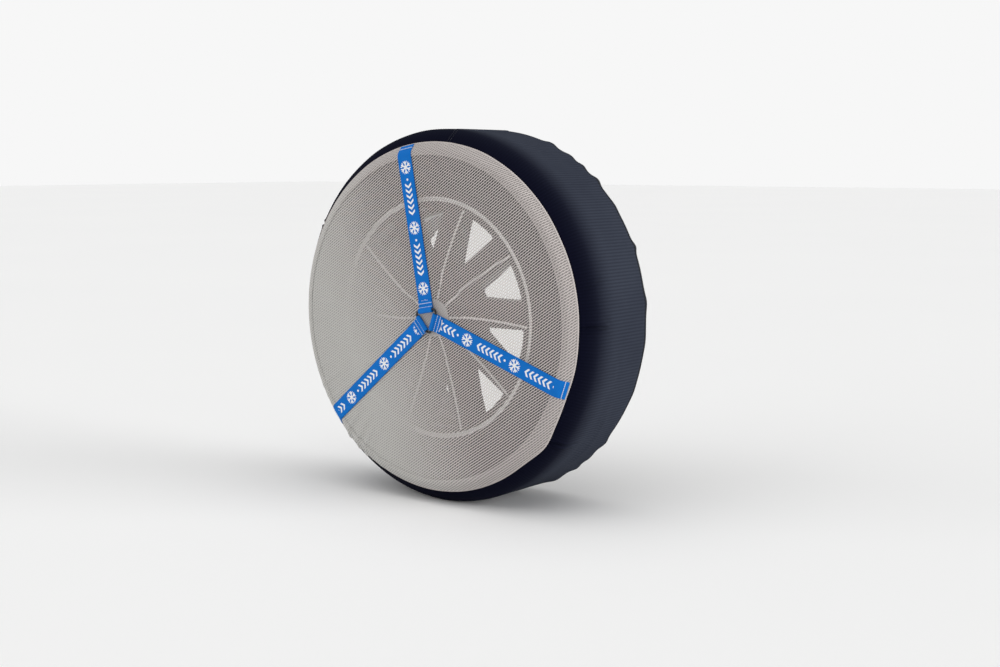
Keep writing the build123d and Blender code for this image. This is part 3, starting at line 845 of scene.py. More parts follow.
REAR_GATHERS = (
    (23.0, 2.2, 0.0042), (31.0, 2.0, 0.0028), (36.5, 1.6, 0.0030), (43.0, 2.0, 0.0046),
    (53.0, 2.4, 0.0014), (67.0, 1.7, 0.0036), (84.0, 3.0, 0.0026), (96.0, 3.5, 0.0010),
    (112.0, 3.0, 0.0010), (131.5, 2.2, 0.0036), (139.0, 2.2, 0.0020), (145.0, 2.0, 0.0034),
    (154.0, 3.0, 0.0044), (168.0, 3.0, 0.0014), (184.0, 2.5, 0.0022), (197.0, 2.0, 0.0030),
    (213.0, 3.0, 0.0024), (229.0, 2.0, 0.0032), (241.0, 2.4, 0.0020), (262.0, 3.0, 0.0028),
    (279.0, 2.0, 0.0030), (296.0, 2.6, 0.0018), (311.0, 2.0, 0.0034), (326.0, 2.4, 0.0022),
    (342.0, 2.0, 0.0024), (358.0, 3.0, 0.0012),
)


BAND_FOLDS = (  # (degrees, y in mm) of both ends, then depth and width in metres
    ((89.6, -94.0), (90.5, -36.0), 0.0034, 0.0026),
    ((86.5, -60.0), (91.0, -30.0), 0.0012, 0.0040),
    ((128.5, -93.0), (127.5, -34.0), 0.0034, 0.0026),
    ((78.6, -90.0), (75.8, -36.0), 0.0019, 0.0028),
    ((118.0, 5.0), (139.0, 9.0), 0.0026, 0.0030),
    ((122.0, -14.0), (136.0, -22.0), 0.0010, 0.0036),
    ((60.0, 6.0), (72.0, 16.0), 0.0006, 0.0060),
    ((97.0, -12.0), (108.0, 4.0), 0.0007, 0.0060),
    ((20.0, -40.0), (31.0, 20.0), 0.0008, 0.0055),
    ((243.0, -92.0), (244.0, -40.0), 0.0020, 0.0026),
    ((301.0, -92.0), (298.0, -50.0), 0.0018, 0.0026),
    ((205.0, 4.0), (224.0, -8.0), 0.0015, 0.0032),
    ((268.0, 2.0), (282.0, 10.0), 0.0014, 0.0034),
    ((330.0, -6.0), (345.0, 6.0), 0.0012, 0.0036),
)


def gather_lift(angle):
    """Puckers that the elastic back edge raises along the crown's rear corner."""
    total = 0.0 * angle
    for middle, width, rise in REAR_GATHERS:
        total = total + rise * np.exp(-((wrapped(angle, middle) / width) ** 2))
    return total


def band_lift(angle, s):
    """Height of the band's outer face: gathers, folds and a slight unevenness."""
    rear = np.clip((s - (CORNER_S - 0.045)) / 0.045, 0, 1.2) ** 2
    height = gather_lift(angle) * rear
    for start, end, depth, width in BAND_FOLDS:
        height = height + crease(angle, s, start, end, depth, width)
    slack = 0.00035 * ripple(angle + 2.0 * s, 21, (5, 11, 19, 31))
    rings = np.sin(s * 180.0 + 3.0 * np.sin(4 * angle))
    slack = slack + 0.0003 * rings * ripple(angle, 22, (6, 9, 15))
    near_seam = np.clip((s - SEAM_S) / 0.02, 0, 1)
    return height + (slack + 0.0003) * near_seam


# ---- properties --------------------------------------------------------------------
def size_property(name, description, default):
    return bpy.props.FloatProperty(
        name=name, description=description, default=default, unit="LENGTH", precision=5
    )


def turn_property(name, description, default):
    return bpy.props.FloatProperty(
        name=name, description=description, default=radians(default), subtype="ANGLE"
    )


def number_property(name, description, default):
    return bpy.props.FloatProperty(name=name, description=description, default=default)


def colour_property(name, description, default):
    return bpy.props.FloatVectorProperty(
        name=name, description=description, default=default, subtype="COLOR", min=0.0, max=1.0
    )


class SockSizes(bpy.types.PropertyGroup):
    """Sizes of the cloth's pattern."""

    net_pitch: size_property("Net pitch", "Distance between the knit's courses", 0.0039)
    net_wale: size_property("Net ties", "Distance between every second cross tie", 0.0066)
    net_slant: turn_property("Net slant", "Rise of the courses to the right", 34.5)
    net_yarn: number_property("Yarn share", "Part of each course that the yarn covers", 0.46)
    rib_pitch: size_property("Rib pitch", "Distance between the band's ribs", 0.0055)
    rib_height: size_property("Rib height", "How far a rib stands proud", 0.00035)
    # The band's dark edge is painted shade of the bevel by the seam.
    band_dark_end: size_property("Dark edge", "Where the band's dark edge ends", -0.091)
    band_pale_start: size_property("Pale tread", "Where the band is at its palest", -0.015)
    print_inner: size_property("Print start", "Radius at which the print starts", 0.0315)
    print_outer: size_property("Print end", "Radius at which the print ends", 0.277)
    print_repeat: size_property("Print repeat", "Length of one repeat of the straps' print", 0.104)
    flake_size: size_property("Snowflake", "Room for each printed snowflake", 0.0155)


class SockColours(bpy.types.PropertyGroup):
    """Colours of the cloth, thread and wheel."""

    net: colour_property("Net", "Pale warm grey yarn", (0.60, 0.55, 0.53))
    # Part of the painted light that makes the slack lower left of the net lighter and more even.
    net_slack_and_light: colour_property("Slack net", "Yarn where the net is slack", (0.535, 0.525, 0.50))
    # Painted shade: the shade on the bevel by the seam, painted into the band's colour.
    band_shaded_edge: colour_property("Band edge", "Near-black navy by the seam", (0.0040, 0.0046, 0.0135))
    band_tread: colour_property("Band tread", "Dusty slate over the tread", (0.043, 0.050, 0.070))
    skirt: colour_property("Skirt", "Dark stretch knit at the back", (0.018, 0.020, 0.027))
    webbing: colour_property("Webbing", "Blue of the straps", (0.004, 0.19, 0.68))
    print_white: colour_property("Print", "White ink", (0.88, 0.89, 0.90))
    thread: colour_property("Thread", "Pale sewing thread", (0.70, 0.78, 0.86))
    rubber: colour_property("Rubber", "Tyre rubber", (0.022, 0.021, 0.021))
    alloy: colour_property("Wheel paint", "Dark paint between the ridges", (0.030, 0.027, 0.027))
    machined: colour_property("Machined metal", "Bright ridges and rim lip", (0.92, 0.91, 0.89))
    # The bright ring at this radius is turned metal and also a painted highlight.
    rim_edge_r: size_property("Rim edge", "Radius of the rim's bright turned edge", 0.2025)
    grime: colour_property("Grime", "Road dust on the wheel", (0.10, 0.09, 0.08))


class StageSettings(bpy.types.PropertyGroup):
    """Camera and lights."""

    camera_turn: turn_property("Camera turn", "Round from the net's face to its right", 38.66)
    camera_rise: turn_property("Camera rise", "Above the axle", 6.04)
    camera_distance: size_property("Camera distance", "From the wheel's middle", 2.5)
    camera_lens: number_property("Lens", "Focal length in millimetres", 51.3)
    shift_x: number_property("Shift right", "Lens shift across", 0.0323)
    shift_y: number_property("Shift up", "Lens shift up", -0.0201)
    key: number_property("Key light", "Brightness of the light from the right", 0.85)
    fill: number_property("Fill light", "Brightness of the light from the front", 0.28)
    overhead: number_property("Overhead light", "Brightness of the light from above", 0.36)
    ambient: number_property("Ambient light", "Even light from all round", 0.38)
    backdrop: number_property("Backdrop", "Brightness of the plain background", 0.93)


# ---- putting pieces on ---------------------------------------------------------------
def put_on(piece, body, slot, material, *nodes):
    """Gives a piece its finish and its body, and hides the nodes that it stands for."""
    piece.data.materials.append(material)
    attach(piece, body)
    if nodes:
        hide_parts(*nodes)
    return piece


def paint_nodes(material, *names):
    """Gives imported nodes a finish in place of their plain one."""
    for name in names:
        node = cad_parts[name]
        if not node.material_slots:
            node.data.materials.append(material)
        for slot in node.material_slots:
            slot.material = material


def settings(scene):
    """The sizes and colours that the steps read."""
    return scene.sock_sizes, scene.sock_colours


class SOCK_OT_stage(bpy.types.Operator):
    """Lay the floor, the lights, the backdrop and the camera"""

    bl_idname = "sock.stage"
    bl_label = "Stage"

    def execute(self, context):
        stage = context.scene.sock_stage
        floor_z = cad_box[0][2] - 0.0005
        bpy.ops.mesh.primitive_plane_add(size=60.0, location=(0, 0, floor_z))
        floor = context.object
        floor.name = "floor"
        paper = Finish("pale floor", Roughness=0.95)
        tone = paper.noise(0.6, 2.0)
        paper.wear(Base_Color=paper.mix(tone, (0.90, 0.90, 0.90), (0.92, 0.92, 0.915)))
        paper.wear(Specular_IOR_Level=0.1)
        floor.data.materials.append(paper.material)
        self.light_world(context.scene, stage)
        self.hang_lamp("key lamp", (2.3, 0.75, 0.35), 40.0, stage.key)
        self.hang_lamp("fill lamp", (-1.6, -2.6, 1.1), 60.0, stage.fill)
        self.hang_lamp("overhead lamp", (0.2, -0.5, 3.0), 80.0, stage.overhead)
        self.place_camera(context.scene, stage)
        return {"FINISHED"}

    def light_world(self, scene, stage):
        """Even soft light, with a plain bright backdrop where it is looked at."""
        world = bpy.data.worlds.new("studio")
        scene.world = world
        world.use_nodes = True
        tree = world.node_tree
        tree.nodes.clear()
        output = tree.nodes.new("ShaderNodeOutputWorld")
        mixed = tree.nodes.new("ShaderNodeMixShader")
        seen = tree.nodes.new("ShaderNodeLightPath")
        for socket, strength in ((1, stage.ambient), (2, stage.backdrop)):
            background = tree.nodes.new("ShaderNodeBackground")
            background.inputs["Color"].default_value = (1.0, 1.0, 1.0, 1.0)
            background.inputs["Strength"].default_value = strength
            tree.links.new(background.outputs[0], mixed.inputs[socket])
        tree.links.new(seen.outputs["Is Camera Ray"], mixed.inputs[0])
        tree.links.new(mixed.outputs[0], output.inputs["Surface"])
        scene.view_settings.view_transform = "Standard"

    def hang_lamp(self, name, place, spread, share):
        """A broad soft light from one side, as a share of a white sky's light."""
        lamp = bpy.data.lights.new(name, "SUN")
        lamp.angle = radians(spread)
        lamp.energy = share * pi
        hung = bpy.data.objects.new(name, lamp)
        hung.location = place
        hung.rotation_euler = Vector(place).to_track_quat("Z", "Y").to_euler()
        bpy.context.scene.collection.objects.link(hung)

    def place_camera(self, scene, stage):
        turn, rise = stage.camera_turn, stage.camera_rise
        way = Vector((sin(turn) * cos(rise), -cos(turn) * cos(rise), sin(rise)))
        camera = bpy.data.cameras.new("camera")
        camera.sensor_width = 36.0
        camera.lens = stage.camera_lens
        camera.shift_x, camera.shift_y = stage.shift_x, stage.shift_y
        placed = bpy.data.objects.new("camera", camera)
        placed.location = Vector((0, -0.002, 0)) + way * stage.camera_distance
        placed.rotation_euler = way.to_track_quat("Z", "Y").to_euler()
        scene.collection.objects.link(placed)
        scene.camera = placed


TREAD_DEPTH = 0.0075
TREAD_PITCHES = 66
TREAD_ROWS = (
    (-0.0795, -0.0455), (-0.0365, -0.0185), (-0.0095, 0.0095), (0.0185, 0.0365), (0.0455, 0.0795),
)
SIPES = 3
SIPE_WIDE = 0.0008
BLOCK_SHARE = 0.84  # of the pitch, the rest is groove
BLOCK_LEAN = 7.0
SHOULDER_IN = 0.045  # from the sidewall to the flat of the crown
SIDE_RINGS = (
    (0.2285, 0.0016, 0.0012), (0.2440, 0.0007, 0.0004), (0.2860, 0.0008, 0.0004),
)  # radius, width and height of each ring moulded round a sidewall
BEAD = ((0.2160, 0.08295), (0.2080, 0.0823), (0.2041, 0.0796), (0.2041, 0.0641))
INSIDE = ((0.2198, 0.0806), (0.2349, 0.0946), (0.2620, 0.1), (0.2890, 0.089), (0.3020, 0.058))


def flank(side):
    """The tyre's outer half profile from the rim's flange to the tread."""
    bulge_r = FLANGE_R + 0.436 * (TYRE_R - FLANGE_R)
    low, high = bulge_r - FLANGE_R, TYRE_R - bulge_r
    points = np.array([
        (FLANGE_R + 0.0013, TYRE_HALF - 0.0196),
        (FLANGE_R + 0.18 * low, TYRE_HALF - 0.011),
        (FLANGE_R + 0.47 * low, TYRE_HALF - 0.0036),
        (bulge_r, TYRE_HALF),
        (bulge_r + 0.33 * high, TYRE_HALF - 0.004),
        (bulge_r + 0.63 * high, TYRE_HALF - 0.0155),
        (TYRE_R - 0.007, TYRE_HALF - 0.0285),
        (TYRE_R, TYRE_HALF - SHOULDER_IN),
    ])
    steps = np.linspace(0, len(points) - 1, 57)
    smooth = np.array([rounded_between(points, t) for t in steps])
    return smooth * (1, side)


def rounded_between(points, t):
    """A point on the smooth curve through a list, at a fractional index."""
    i = min(int(t), len(points) - 2)
    f = t - i
    last = len(points) - 1
    before, a, b, after = (points[min(max(k, 0), last)] for k in range(i - 1, i + 3))
    return 0.5 * (
        2 * a + (b - before) * f + (2 * before - 5 * a + 4 * b - after) * f**2
        + (3 * a - before - 3 * b + after) * f**3
    )


class SOCK_OT_tyre(bpy.types.Operator):
    """Build the tyre with its tread blocks, sipes and sidewall rings"""

    bl_idname = "sock.tyre"
    bl_label = "Tyre"

    def execute(self, context):
        rubber = tyre_finish(context.scene.sock_colours)
        outline = self.carcass_outline()
        carcass = turned_body("tyre_carcass", outline, 288)
        put_on(carcass, "wheel", "tyre", rubber, "tyre")
        blocks = self.tread_blocks()
        put_on(blocks, "wheel", "tyre", rubber)
        return {"FINISHED"}

    def carcass_outline(self):
        """Closed profile: both flanks with raised rings, tread base, beads and inside."""
        front, back = (self.ringed(flank(side), side) for side in (-1, 1))
        base_r = TYRE_R - TREAD_DEPTH
        base = [(base_r, y) for y in np.linspace(-0.066, 0.066, 13)]
        shoulder, far_shoulder = (
            [point for point in half if point[0] < base_r + 0.001] for half in (front, back)
        )
        outline = [*shoulder, *base, *reversed(far_shoulder), *BEAD, *INSIDE]
        outline += [(r, -y) for r, y in reversed((*BEAD, *INSIDE))]
        return outline

    def ringed(self, half, side):
        """Adds the low rings that are moulded round a sidewall."""
        r, y = half.T
        for radius, width, rise in SIDE_RINGS:
            y = y + side * rise * np.exp(-(((r - radius) / width) ** 2))
        return [tuple(point) for point in np.stack([r, y], 1)]

    def tread_blocks(self):
        """Rows of blocks set in a shallow V, each cut by sipes."""
        half = flank(1)
        points, faces = [], []
        pitch = 2 * pi / TREAD_PITCHES
        for low, high in TREAD_ROWS:
            ys = np.linspace(low, high, 6)
            tops = self.crown_at(half, ys)
            middle = abs(low + high) < 0.001
            for k in range(TREAD_PITCHES):
                for sipe in range(SIPES):
                    start = (k + 0.08 + BLOCK_SHARE * sipe / SIPES) * pitch
                    end = start + BLOCK_SHARE * pitch / SIPES - SIPE_WIDE / TYRE_R
                    lean = 0.0 if middle else BLOCK_LEAN
                    turns = [np.linspace(start, end, 3) + lean * abs(y) * pitch for y in ys]
                    self.add_block(points, faces, turns, ys, tops)
        return mesh_object("tyre_tread_blocks", points, faces)

    def crown_at(self, half, ys):
        """The crown's radius across the tread: flat, then round at the shoulders."""
        side = np.interp(np.abs(ys), half[::-1, 1], half[::-1, 0])
        return np.where(np.abs(ys) <= TYRE_HALF - SHOULDER_IN, TYRE_R, side)

    def add_block(self, points, faces, turns, ys, tops):
        """One rubber block: a bent top, walls with a little draft, and a foot in the carcass."""
        base = len(points)
        wide = 3
        for drop, flare in ((0.0, 0.0), (TREAD_DEPTH + 0.001, 0.0005)):
            for row, (y, top) in enumerate(zip(ys, tops)):
                edge_row = 1 if row == len(ys) - 1 else -1 if row == 0 else 0
                for column in range(wide):
                    turn = turns[row][column] + (column - 1) * flare / TYRE_R
                    r = top - drop
                    points.append((r * sin(turn), y + edge_row * flare, r * cos(turn)))
        count = wide * len(ys)
        for row in range(len(ys) - 1):
            for column in range(wide - 1):
                a = base + row * wide + column
                quad = (a, a + wide, a + wide + 1, a + 1)
                faces.append(quad)
                faces.append(tuple(v + count for v in reversed(quad)))
            for column, flip in ((0, True), (wide - 1, False)):
                a = base + row * wide + column
                quad = (a, a + wide, a + wide + count, a + count)
                faces.append(quad[::-1] if flip else quad)
        for row, flip in ((0, False), (len(ys) - 1, True)):
            for column in range(wide - 1):
                a = base + row * wide + column
                quad = (a, a + 1, a + 1 + count, a + count)
                faces.append(quad[::-1] if not flip else quad)


class SOCK_OT_wheel(bpy.types.Operator):
    """Finish the rim, the spoked centre, the cap, the valve and the hidden steel"""

    bl_idname = "sock.wheel"
    bl_label = "Wheel"

    def execute(self, context):
        colours = context.scene.sock_colours
        paint_nodes(alloy_finish(colours), "wheel_centre")
        paint_nodes(rim_finish(colours), "wheel_rim")
        paint_nodes(plastic_finish("silver cap", (0.70, 0.70, 0.69), 0.4), "centre_cap")
        steel = metal_finish("drawn steel", (0.50, 0.50, 0.52), 0.3)
        paint_nodes(steel, "cap_retaining_ring", "bead_wires", "steel_belts")
        self.valve_coil(steel)
        paint_nodes(metal_finish("coated zinc", (0.50, 0.51, 0.53), 0.5), "balance_weights")
        brass = metal_finish("machined brass", (0.75, 0.56, 0.25), 0.28)
        paint_nodes(brass, "valve_tube", "valve_core", "valve_pin")
        paint_nodes(plastic_finish("valve rubber", (0.025, 0.025, 0.025), 0.7), "valve_stem")
        paint_nodes(plastic_finish("black cap", (0.02, 0.02, 0.021), 0.5), "valve_cap")
        return {"FINISHED"}


    def valve_coil(self, steel):
        """The valve's spring, standing on its foot along the valve's axis."""
        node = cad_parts["valve_spring"]
        axis = Vector(VALVE_AXIS).normalized()
        spots = [node.matrix_world @ corner.co for corner in node.data.vertices]
        reach = [spot.dot(axis) for spot in spots]
        middle = sum(spots, Vector()) / len(spots)
        foot = middle + axis * (min(reach) - middle.dot(axis))
        half = (max(reach) - min(reach)) / 2
        points, faces = coil(foot, axis, 2 * half, 0.00135, 0.00018, 5)
        spring = mesh_object("valve_coil", points, faces)
        put_on(spring, "wheel", "steel", steel, "valve_spring")
        keep = 1.0 - VALVE_PIN_TRAVEL / (2 * half)
        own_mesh(spring)


class SOCK_OT_net(bpy.types.Operator):
    """Stretch the net over the wheel's face"""

    bl_idname = "sock.net"
    bl_label = "Net"

    def execute(self, context):
        sizes, colours = settings(context.scene)
        net = skin("net_face", level(0.0005), net_edge, 76, 540, net_lift, 0.0, polar=True)
        put_on(net, "sock", "net_textile", net_finish(colours, sizes), "front_net")
        return {"FINISHED"}


class SOCK_OT_hem(bpy.types.Operator):
    """Turn the net's edge back into a doubled hem and sew it down"""

    bl_idname = "sock.hem"
    bl_label = "Net hem"

    def execute(self, context):
        sizes, colours = settings(context.scene)
        inner_s = NET_CORNER - HEM_FLAT - 0.0003

        def start(angle):
            return inner_s + 0.0005 * ripple(angle, 15, (8, 14, 21))

        def lift(angle, s):
            return net_lift(angle, s) + HEM_LIFT

        hem = skin("net_hem_fold", start, net_edge, 14, 540, lift, 0.0, polar=True)
        put_on(hem, "sock", "net_textile", net_finish(colours, sizes, doubled=True), "net_hem")
        stitches = self.hem_stitches(inner_s + 0.002)
        put_on(stitches, "sock", "white_thread", thread_finish(colours, "net thread", colours.net))
        return {"FINISHED"}

    def hem_stitches(self, s):
        places = []
        count = round(2 * pi * s / 0.0036)
        for k in range(count):
            angle = np.array([2 * pi * k / count])
            r, y = SOCK.at(np.array([s]), net_lift(angle, np.array([s])) + HEM_LIFT)
            turn = np.degrees(angle[0])
            middle = around(r[0], turn, y[0])
            run = around(1.0, turn + 90.0, 0.0)
            places.append((middle, run, (0.0, -1.0, 0.0)))
        return stitch_run("net_hem_stitches", places, 0.0026, 0.0005, 5)


class SOCK_OT_binding(bpy.types.Operator):
    """Overlock the seam between the net and the band"""

    bl_idname = "sock.binding"
    bl_label = "Seam binding"

    def execute(self, context):
        colours = context.scene.sock_colours
        wraps, per_wrap, sides = 430, 5, 10
        angle, about = tube_angles(wraps * per_wrap, sides)
        wave = 0.5 + 0.5 * np.cos(wraps * angle + about)
        half_wide = 0.0014 + 0.0006 * wave
        half_high = 0.0009 + 0.0004 * wave
        s = SEAM_S + seam_shift(angle) + half_wide * np.cos(about)
        r, y = SOCK.at(s, 0.0004 + half_high * np.sin(about))
        binding = ring_mesh("seam_overlock", turned(r, angle, y), inward=True)
        put_on(binding, "sock", "binding_textile", binding_finish(colours), "seam_binding")
        return {"FINISHED"}


class SOCK_OT_band(bpy.types.Operator):
    """Pull the ribbed band over the tread, with its folds and gathers"""

    bl_idname = "sock.band"
    bl_label = "Tread band"

    def execute(self, context):
        sizes, colours = settings(context.scene)
        cloth = band_finish(colours, sizes)
        ribs = round(2 * pi * CROWN_R / sizes.rib_pitch)  # four columns of the mesh to a rib
        height = sizes.rib_height

        def lift(angle, s):
            return band_lift(angle, s) + height * (0.5 + 0.5 * np.cos(ribs * angle)) - height

        def start(angle):
            return SEAM_S + SEAM_GAP * 0.4 + seam_shift(angle)

        end = level(REAR_S)
        band = skin("tread_band_cloth", start, end, 34, ribs * 4, lift, BAND_THICK)
        put_on(band, "sock", "band_textile", cloth, "tread_band")
        self.close_band(colours, sizes)
        return {"FINISHED"}

    def close_band(self, colours, sizes):
        """The lapped seam across the band, with two rows of dark thread."""
        middle, half = radians(6.0), 0.0045 / CROWN_R
        turn = (middle - half, middle + half)

        def lift(angle, s):
            edge = np.clip((half - np.abs(angle - middle)) / (0.35 * half), 0, 1)
            dips = 0.00025 * np.cos((np.abs(angle - middle) / half - 0.62) * 14.0)
            return band_lift(angle, s) + 0.0008 * edge**0.5 - dips

        def start(angle):
            return SEAM_S + SEAM_GAP + seam_shift(angle)

        end = level(REAR_S)
        strip = skin("band_closure_lap", start, end, 60, 13, lift, 0.0009, turn)
        cloth = band_finish(colours, sizes, "lapped ribbing")
        put_on(strip, "sock", "band_textile", cloth, "band_closure_seam")
        places = []
        for offset in (-0.62, 0.62):
            here = middle + offset * half
            for s in np.arange(SEAM_S + 0.004, REAR_S - 0.002, 0.0036):
                at = np.array([s])
                r, y = SOCK.at(at, lift(np.array([here]), at))
                far_r, far_y = SOCK.at(at + 0.001, lift(np.array([here]), at))
                run = around(far_r[0] - r[0], np.degrees(here), far_y[0] - y[0])
                run = unit(run)
                out = unit(np.cross(around(1.0, np.degrees(here) + 90.0, 0.0), run))
                places.append((around(r[0], np.degrees(here), y[0]), run, out))
        rows = stitch_run("band_closure_stitches", places, 0.0026, 0.0006, 5)
        thread = thread_finish(colours, "dark thread", (0.03, 0.033, 0.045))
        put_on(rows, "sock", "band_textile", thread)


class SOCK_OT_skirt(bpy.types.Operator):
    """Gather the back edge on its elastic behind the tread"""

    bl_idname = "sock.skirt"
    bl_label = "Rear skirt"

    def execute(self, context):
        colours = context.scene.sock_colours
        cloth = skirt_finish(colours)
        ends = level(REAR_S), level(SOCK.length)
        skirt = skin("rear_skirt_cloth", *ends, 30, 900, self.lift, SKIRT_THICK)
        put_on(skirt, "sock", "skirt_textile", cloth, "rear_skirt")
        hem = self.gathered_hem()
        put_on(hem, "sock", "skirt_textile", cloth, "rear_hem")
        paint_nodes(elastic_finish(colours), "rear_elastic")
        return {"FINISHED"}

    def pleat(self, angle, reach):
        """Uneven pleats that deepen towards the elastic."""
        uneven = angle + 0.02 * np.sin(7 * angle) + 0.013 * np.sin(13 * angle + 1.0)
        fine = 0.5 + 0.5 * np.sin(92 * uneven + 0.8 * np.sin(17 * angle))
        broad = 0.5 + 0.5 * np.sin(31 * uneven + 2.0)
        return (0.0022 * fine + 0.0016 * broad) * reach

    def lift(self, angle, s):
        from_corner = np.clip((s - CORNER_S) / (SOCK.length - CORNER_S), 0, 1)
        rear = np.clip((s - (CORNER_S - 0.045)) / 0.045, 0, 1.2) ** 2
        fade = np.clip(1.0 - 0.85 * from_corner, 0, 1)
        before = band_lift(angle, np.minimum(s, REAR_S))
        join = np.clip((s - REAR_S) / 0.012, 0, 1)
        own = gather_lift(angle) * rear * fade + self.pleat(angle, from_corner**1.3)
        return before * (1 - join) + own * join

    def gathered_hem(self):
        """The tube of cloth round the elastic, bunched up along it."""
        columns, sides = 1080, 16
        angle, about = tube_angles(columns, sides)
        bunch = self.pleat(angle, 1.0)
        wave = np.sin(180 * angle + 3 * np.sin(about) + 2 * np.sin(23 * angle))
        scrunch = 0.0007 * (0.5 + 0.5 * wave)
        wide, high = (
            np.sign(part) * np.abs(part) ** 0.55 * (half + scrunch)
            for part, half in ((np.cos(about), 0.0052), (np.sin(about), 0.0027))
        )
        r = REAR_HEM_R - 0.005 + wide
        y = REAR_HEM_Y + high + np.clip(np.sin(about), 0, 1) * bunch * 0.8
        i, j = (grid.ravel() for grid in np.meshgrid(range(columns), range(sides), indexing="ij"))
        uvs = np.stack([
            np.stack([(i + a) * 2 * pi / columns * CROWN_R, (j + b) * 0.0019], -1)
            for a, b in ((0, 0), (0, 1), (1, 1), (1, 0))
        ], 1)
        return ring_mesh("rear_hem_tube", turned(r, angle, y), [uvs])


def strap_course(turn):
    """Middle line of a strap's ply: from its sewn tail, round the ring, out to the seam."""
    seam = SEAM_S - SEAM_GAP + float(seam_shift(radians(turn)))
    half = STRAP_THICK / 2
    back_y = -(NET_Y + HEM_LIFT) - half
    front_y = RING_Y - RING_WIRE / 2 - LOOP_GAP - half
    fold_half = (back_y - front_y) / 2
    turn_r = LOOP_FOLD_R + half + fold_half
    tail_y = back_y - STRAP_THICK
    tail = [(LOOP_TAIL_R, tail_y), (0.0196, tail_y), (0.0168, front_y)]
    fold = [(turn_r - fold_half, front_y), (turn_r - fold_half, back_y)]
    lifted = HEM_LIFT + half
    corner = (NET_CORNER + lifted * tan(pi / 8), back_y)
    end_r, end_y = SOCK.at(np.array([seam]), lifted)
    bends = [0.003, 0.003, fold_half - 1e-5, fold_half - 1e-5, NET_BEND + lifted]
    return Course([*tail, *fold, corner, (end_r[0], end_y[0])], bends)


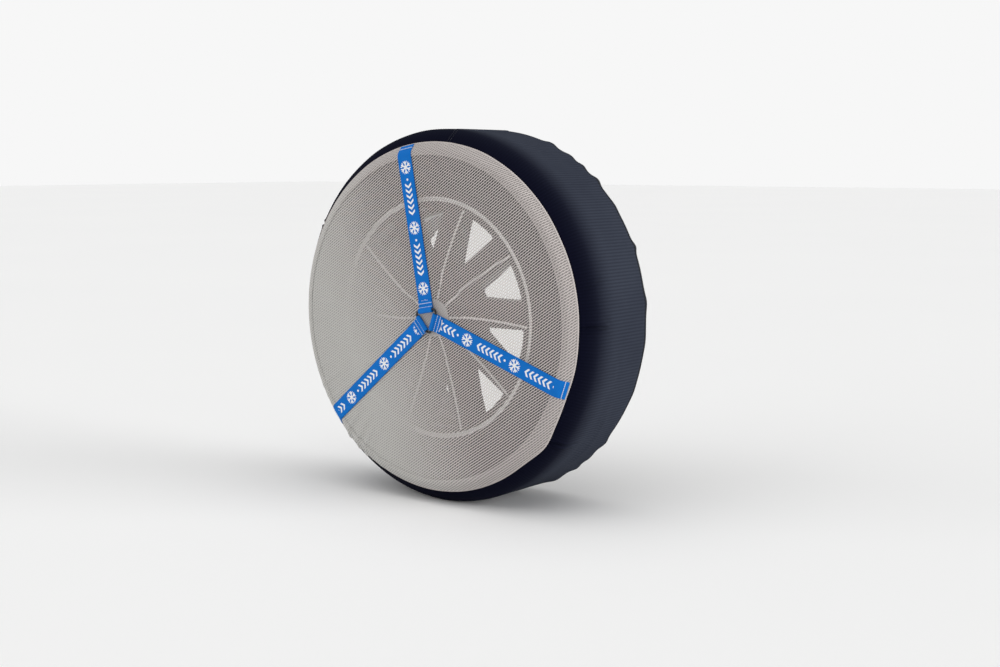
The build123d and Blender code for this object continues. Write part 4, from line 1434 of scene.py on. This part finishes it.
class SOCK_OT_straps(bpy.types.Operator):
    """Sew the three printed straps from the seam round the centre ring"""

    bl_idname = "sock.straps"
    bl_label = "Straps"

    def execute(self, context):
        sizes, colours = settings(context.scene)
        webbing = webbing_finish(colours, sizes)
        thread = thread_finish(colours)
        for i, side in enumerate(SIDES):
            turn = FIRST_STRAP + 120.0 * i
            course = strap_course(turn)
            strap = self.webbing_strip(f"strap_{side}_webbing", course, turn, PRINT_STARTS[i])
            strap.data.materials.append(webbing)
            reaches = (STRAP_HINGE_R + 0.006, STRAP_HINGE_R - 0.006)
            hinge = [tuple(around(r, turn, -NET_Y)) for r in reaches]
            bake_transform(strap)
            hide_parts(f"strap_{side}", f"strap_anchor_{side}")
            loop = self.rows_of_stitches(f"strap_{side}_thread", turn, STITCH_ROWS)
            put_on(loop, f"strap_{side}", "white_thread", thread, f"strap_{side}_stitches")
            anchor = self.anchor_stitches(f"strap_anchor_{side}_thread", turn)
            put_on(anchor, "sock", "white_thread", thread, f"anchor_stitches_{side}")
        return {"FINISHED"}

    def webbing_strip(self, name, course, turn, print_start):
        """A flat woven strip with rolled edges that follows its course."""
        s = np.unique(np.concatenate([np.arange(0, course.length, 0.003), course.s]))
        half, thin = STRAP_WIDTH / 2, STRAP_THICK / 2
        across = np.array([-1.0, -0.985, -0.94, -0.6, -0.3, 0.0, 0.3, 0.6, 0.94, 0.985, 1.0]) * half
        past = np.clip(np.abs(across) / half - 0.94, 0, 1) / 0.07
        edge = thin * np.sqrt(np.clip(1 - past**2, 0.05, 1))
        front = list(zip(across, edge))
        ring = front + [(w, -t) for w, t in reversed(front)]
        run, side = around(1.0, turn, 0.0), around(1.0, turn + 90.0, 0.0)
        points = []
        for at in s:
            for w, t in ring:
                r, y = course.at(np.array([at]), t)
                points.append(run * r[0] + side * w + np.array([0.0, y[0], 0.0]))
        sides = len(ring)
        faces, uvs = [], []
        for i in range(len(s) - 1):
            for j in range(sides):
                up = (j + 1) % sides
                ends = ((i, j), (i, up), (i + 1, up), (i + 1, j))
                faces.append([row * sides + place for row, place in ends])
                uvs.append([(s[row] + print_start, ring[place][0]) for row, place in ends])
        faces.append(tuple(range(sides - 1, -1, -1)))
        uvs.append([(print_start, w) for w, t in reversed(ring)])
        last = (len(s) - 1) * sides
        faces.append(tuple(range(last, last + sides)))
        uvs.append([(s[-1] + print_start, w) for w, t in ring])
        return mesh_object(name, points, faces, [np.array(uv) for uv in uvs])

    def rows_of_stitches(self, name, turn, radii):
        """Rows across a strap where its loop is sewn down."""
        top_y = -(NET_Y + HEM_LIFT) - 2 * STRAP_THICK
        places = []
        for radius in radii:
            places += self.row_across(turn, radius, top_y, (0.0, -1.0, 0.0))
        return stitch_run(name, places, 0.0032, 0.0013)

    def anchor_stitches(self, name, turn):
        """The row across a strap's outer end, on the sloping edge of the net."""
        r, y = SOCK.at(np.array([SEAM_S - ANCHOR_ROW]), HEM_LIFT + STRAP_THICK)
        out = unit(around(1.0, turn, 0.0) - np.array([0.0, 1.0, 0.0]))
        return stitch_run(name, self.row_across(turn, r[0], y[0], out), 0.0032, 0.0013)

    def row_across(self, turn, radius, y, out):
        """Places of one row's stitches, from edge to edge of the strap."""
        side = around(1.0, turn + 90.0, 0.0)
        middle = around(radius, turn, y)
        return [(middle + side * off, side, out) for off in np.arange(-0.0132, 0.0133, 0.0033)]


class SOCK_OT_ring(bpy.types.Operator):
    """Finish the black centre ring"""

    bl_idname = "sock.ring"
    bl_label = "Centre ring"

    def execute(self, context):
        enamel = plastic_finish("black enamel", (0.010, 0.010, 0.011), 0.32, 400.0)
        paint_nodes(enamel, "centre_ring")
        return {"FINISHED"}


class SOCK_PT_panel(bpy.types.Panel):
    """The steps that dress the wheel"""

    bl_idname = "SOCK_PT_panel"
    bl_label = "Snow Sock"
    bl_space_type = "VIEW_3D"
    bl_region_type = "UI"
    bl_category = "Snow Sock"

    def draw(self, context):
        for operator in STEPS:
            self.layout.operator(operator.bl_idname)


STEPS = (
    SOCK_OT_stage,
    SOCK_OT_tyre,
    SOCK_OT_wheel,
    SOCK_OT_net,
    SOCK_OT_hem,
    SOCK_OT_binding,
    SOCK_OT_band,
    SOCK_OT_skirt,
    SOCK_OT_straps,
    SOCK_OT_ring,
)
GROUPS = {"sock_sizes": SockSizes, "sock_colours": SockColours, "sock_stage": StageSettings}


def register():
    for group in GROUPS.values():
        bpy.utils.register_class(group)
    for name, group in GROUPS.items():
        setattr(bpy.types.Scene, name, bpy.props.PointerProperty(type=group))
    for operator in STEPS:
        bpy.utils.register_class(operator)
    bpy.utils.register_class(SOCK_PT_panel)


def unregister():
    bpy.utils.unregister_class(SOCK_PT_panel)
    for operator in reversed(STEPS):
        bpy.utils.unregister_class(operator)
    for name, group in GROUPS.items():
        delattr(bpy.types.Scene, name)
        bpy.utils.unregister_class(group)


def main():
    register()
    for operator in STEPS:
        getattr(bpy.ops.sock, operator.bl_idname.split(".")[1])()


if __name__ == "__main__":
    main()
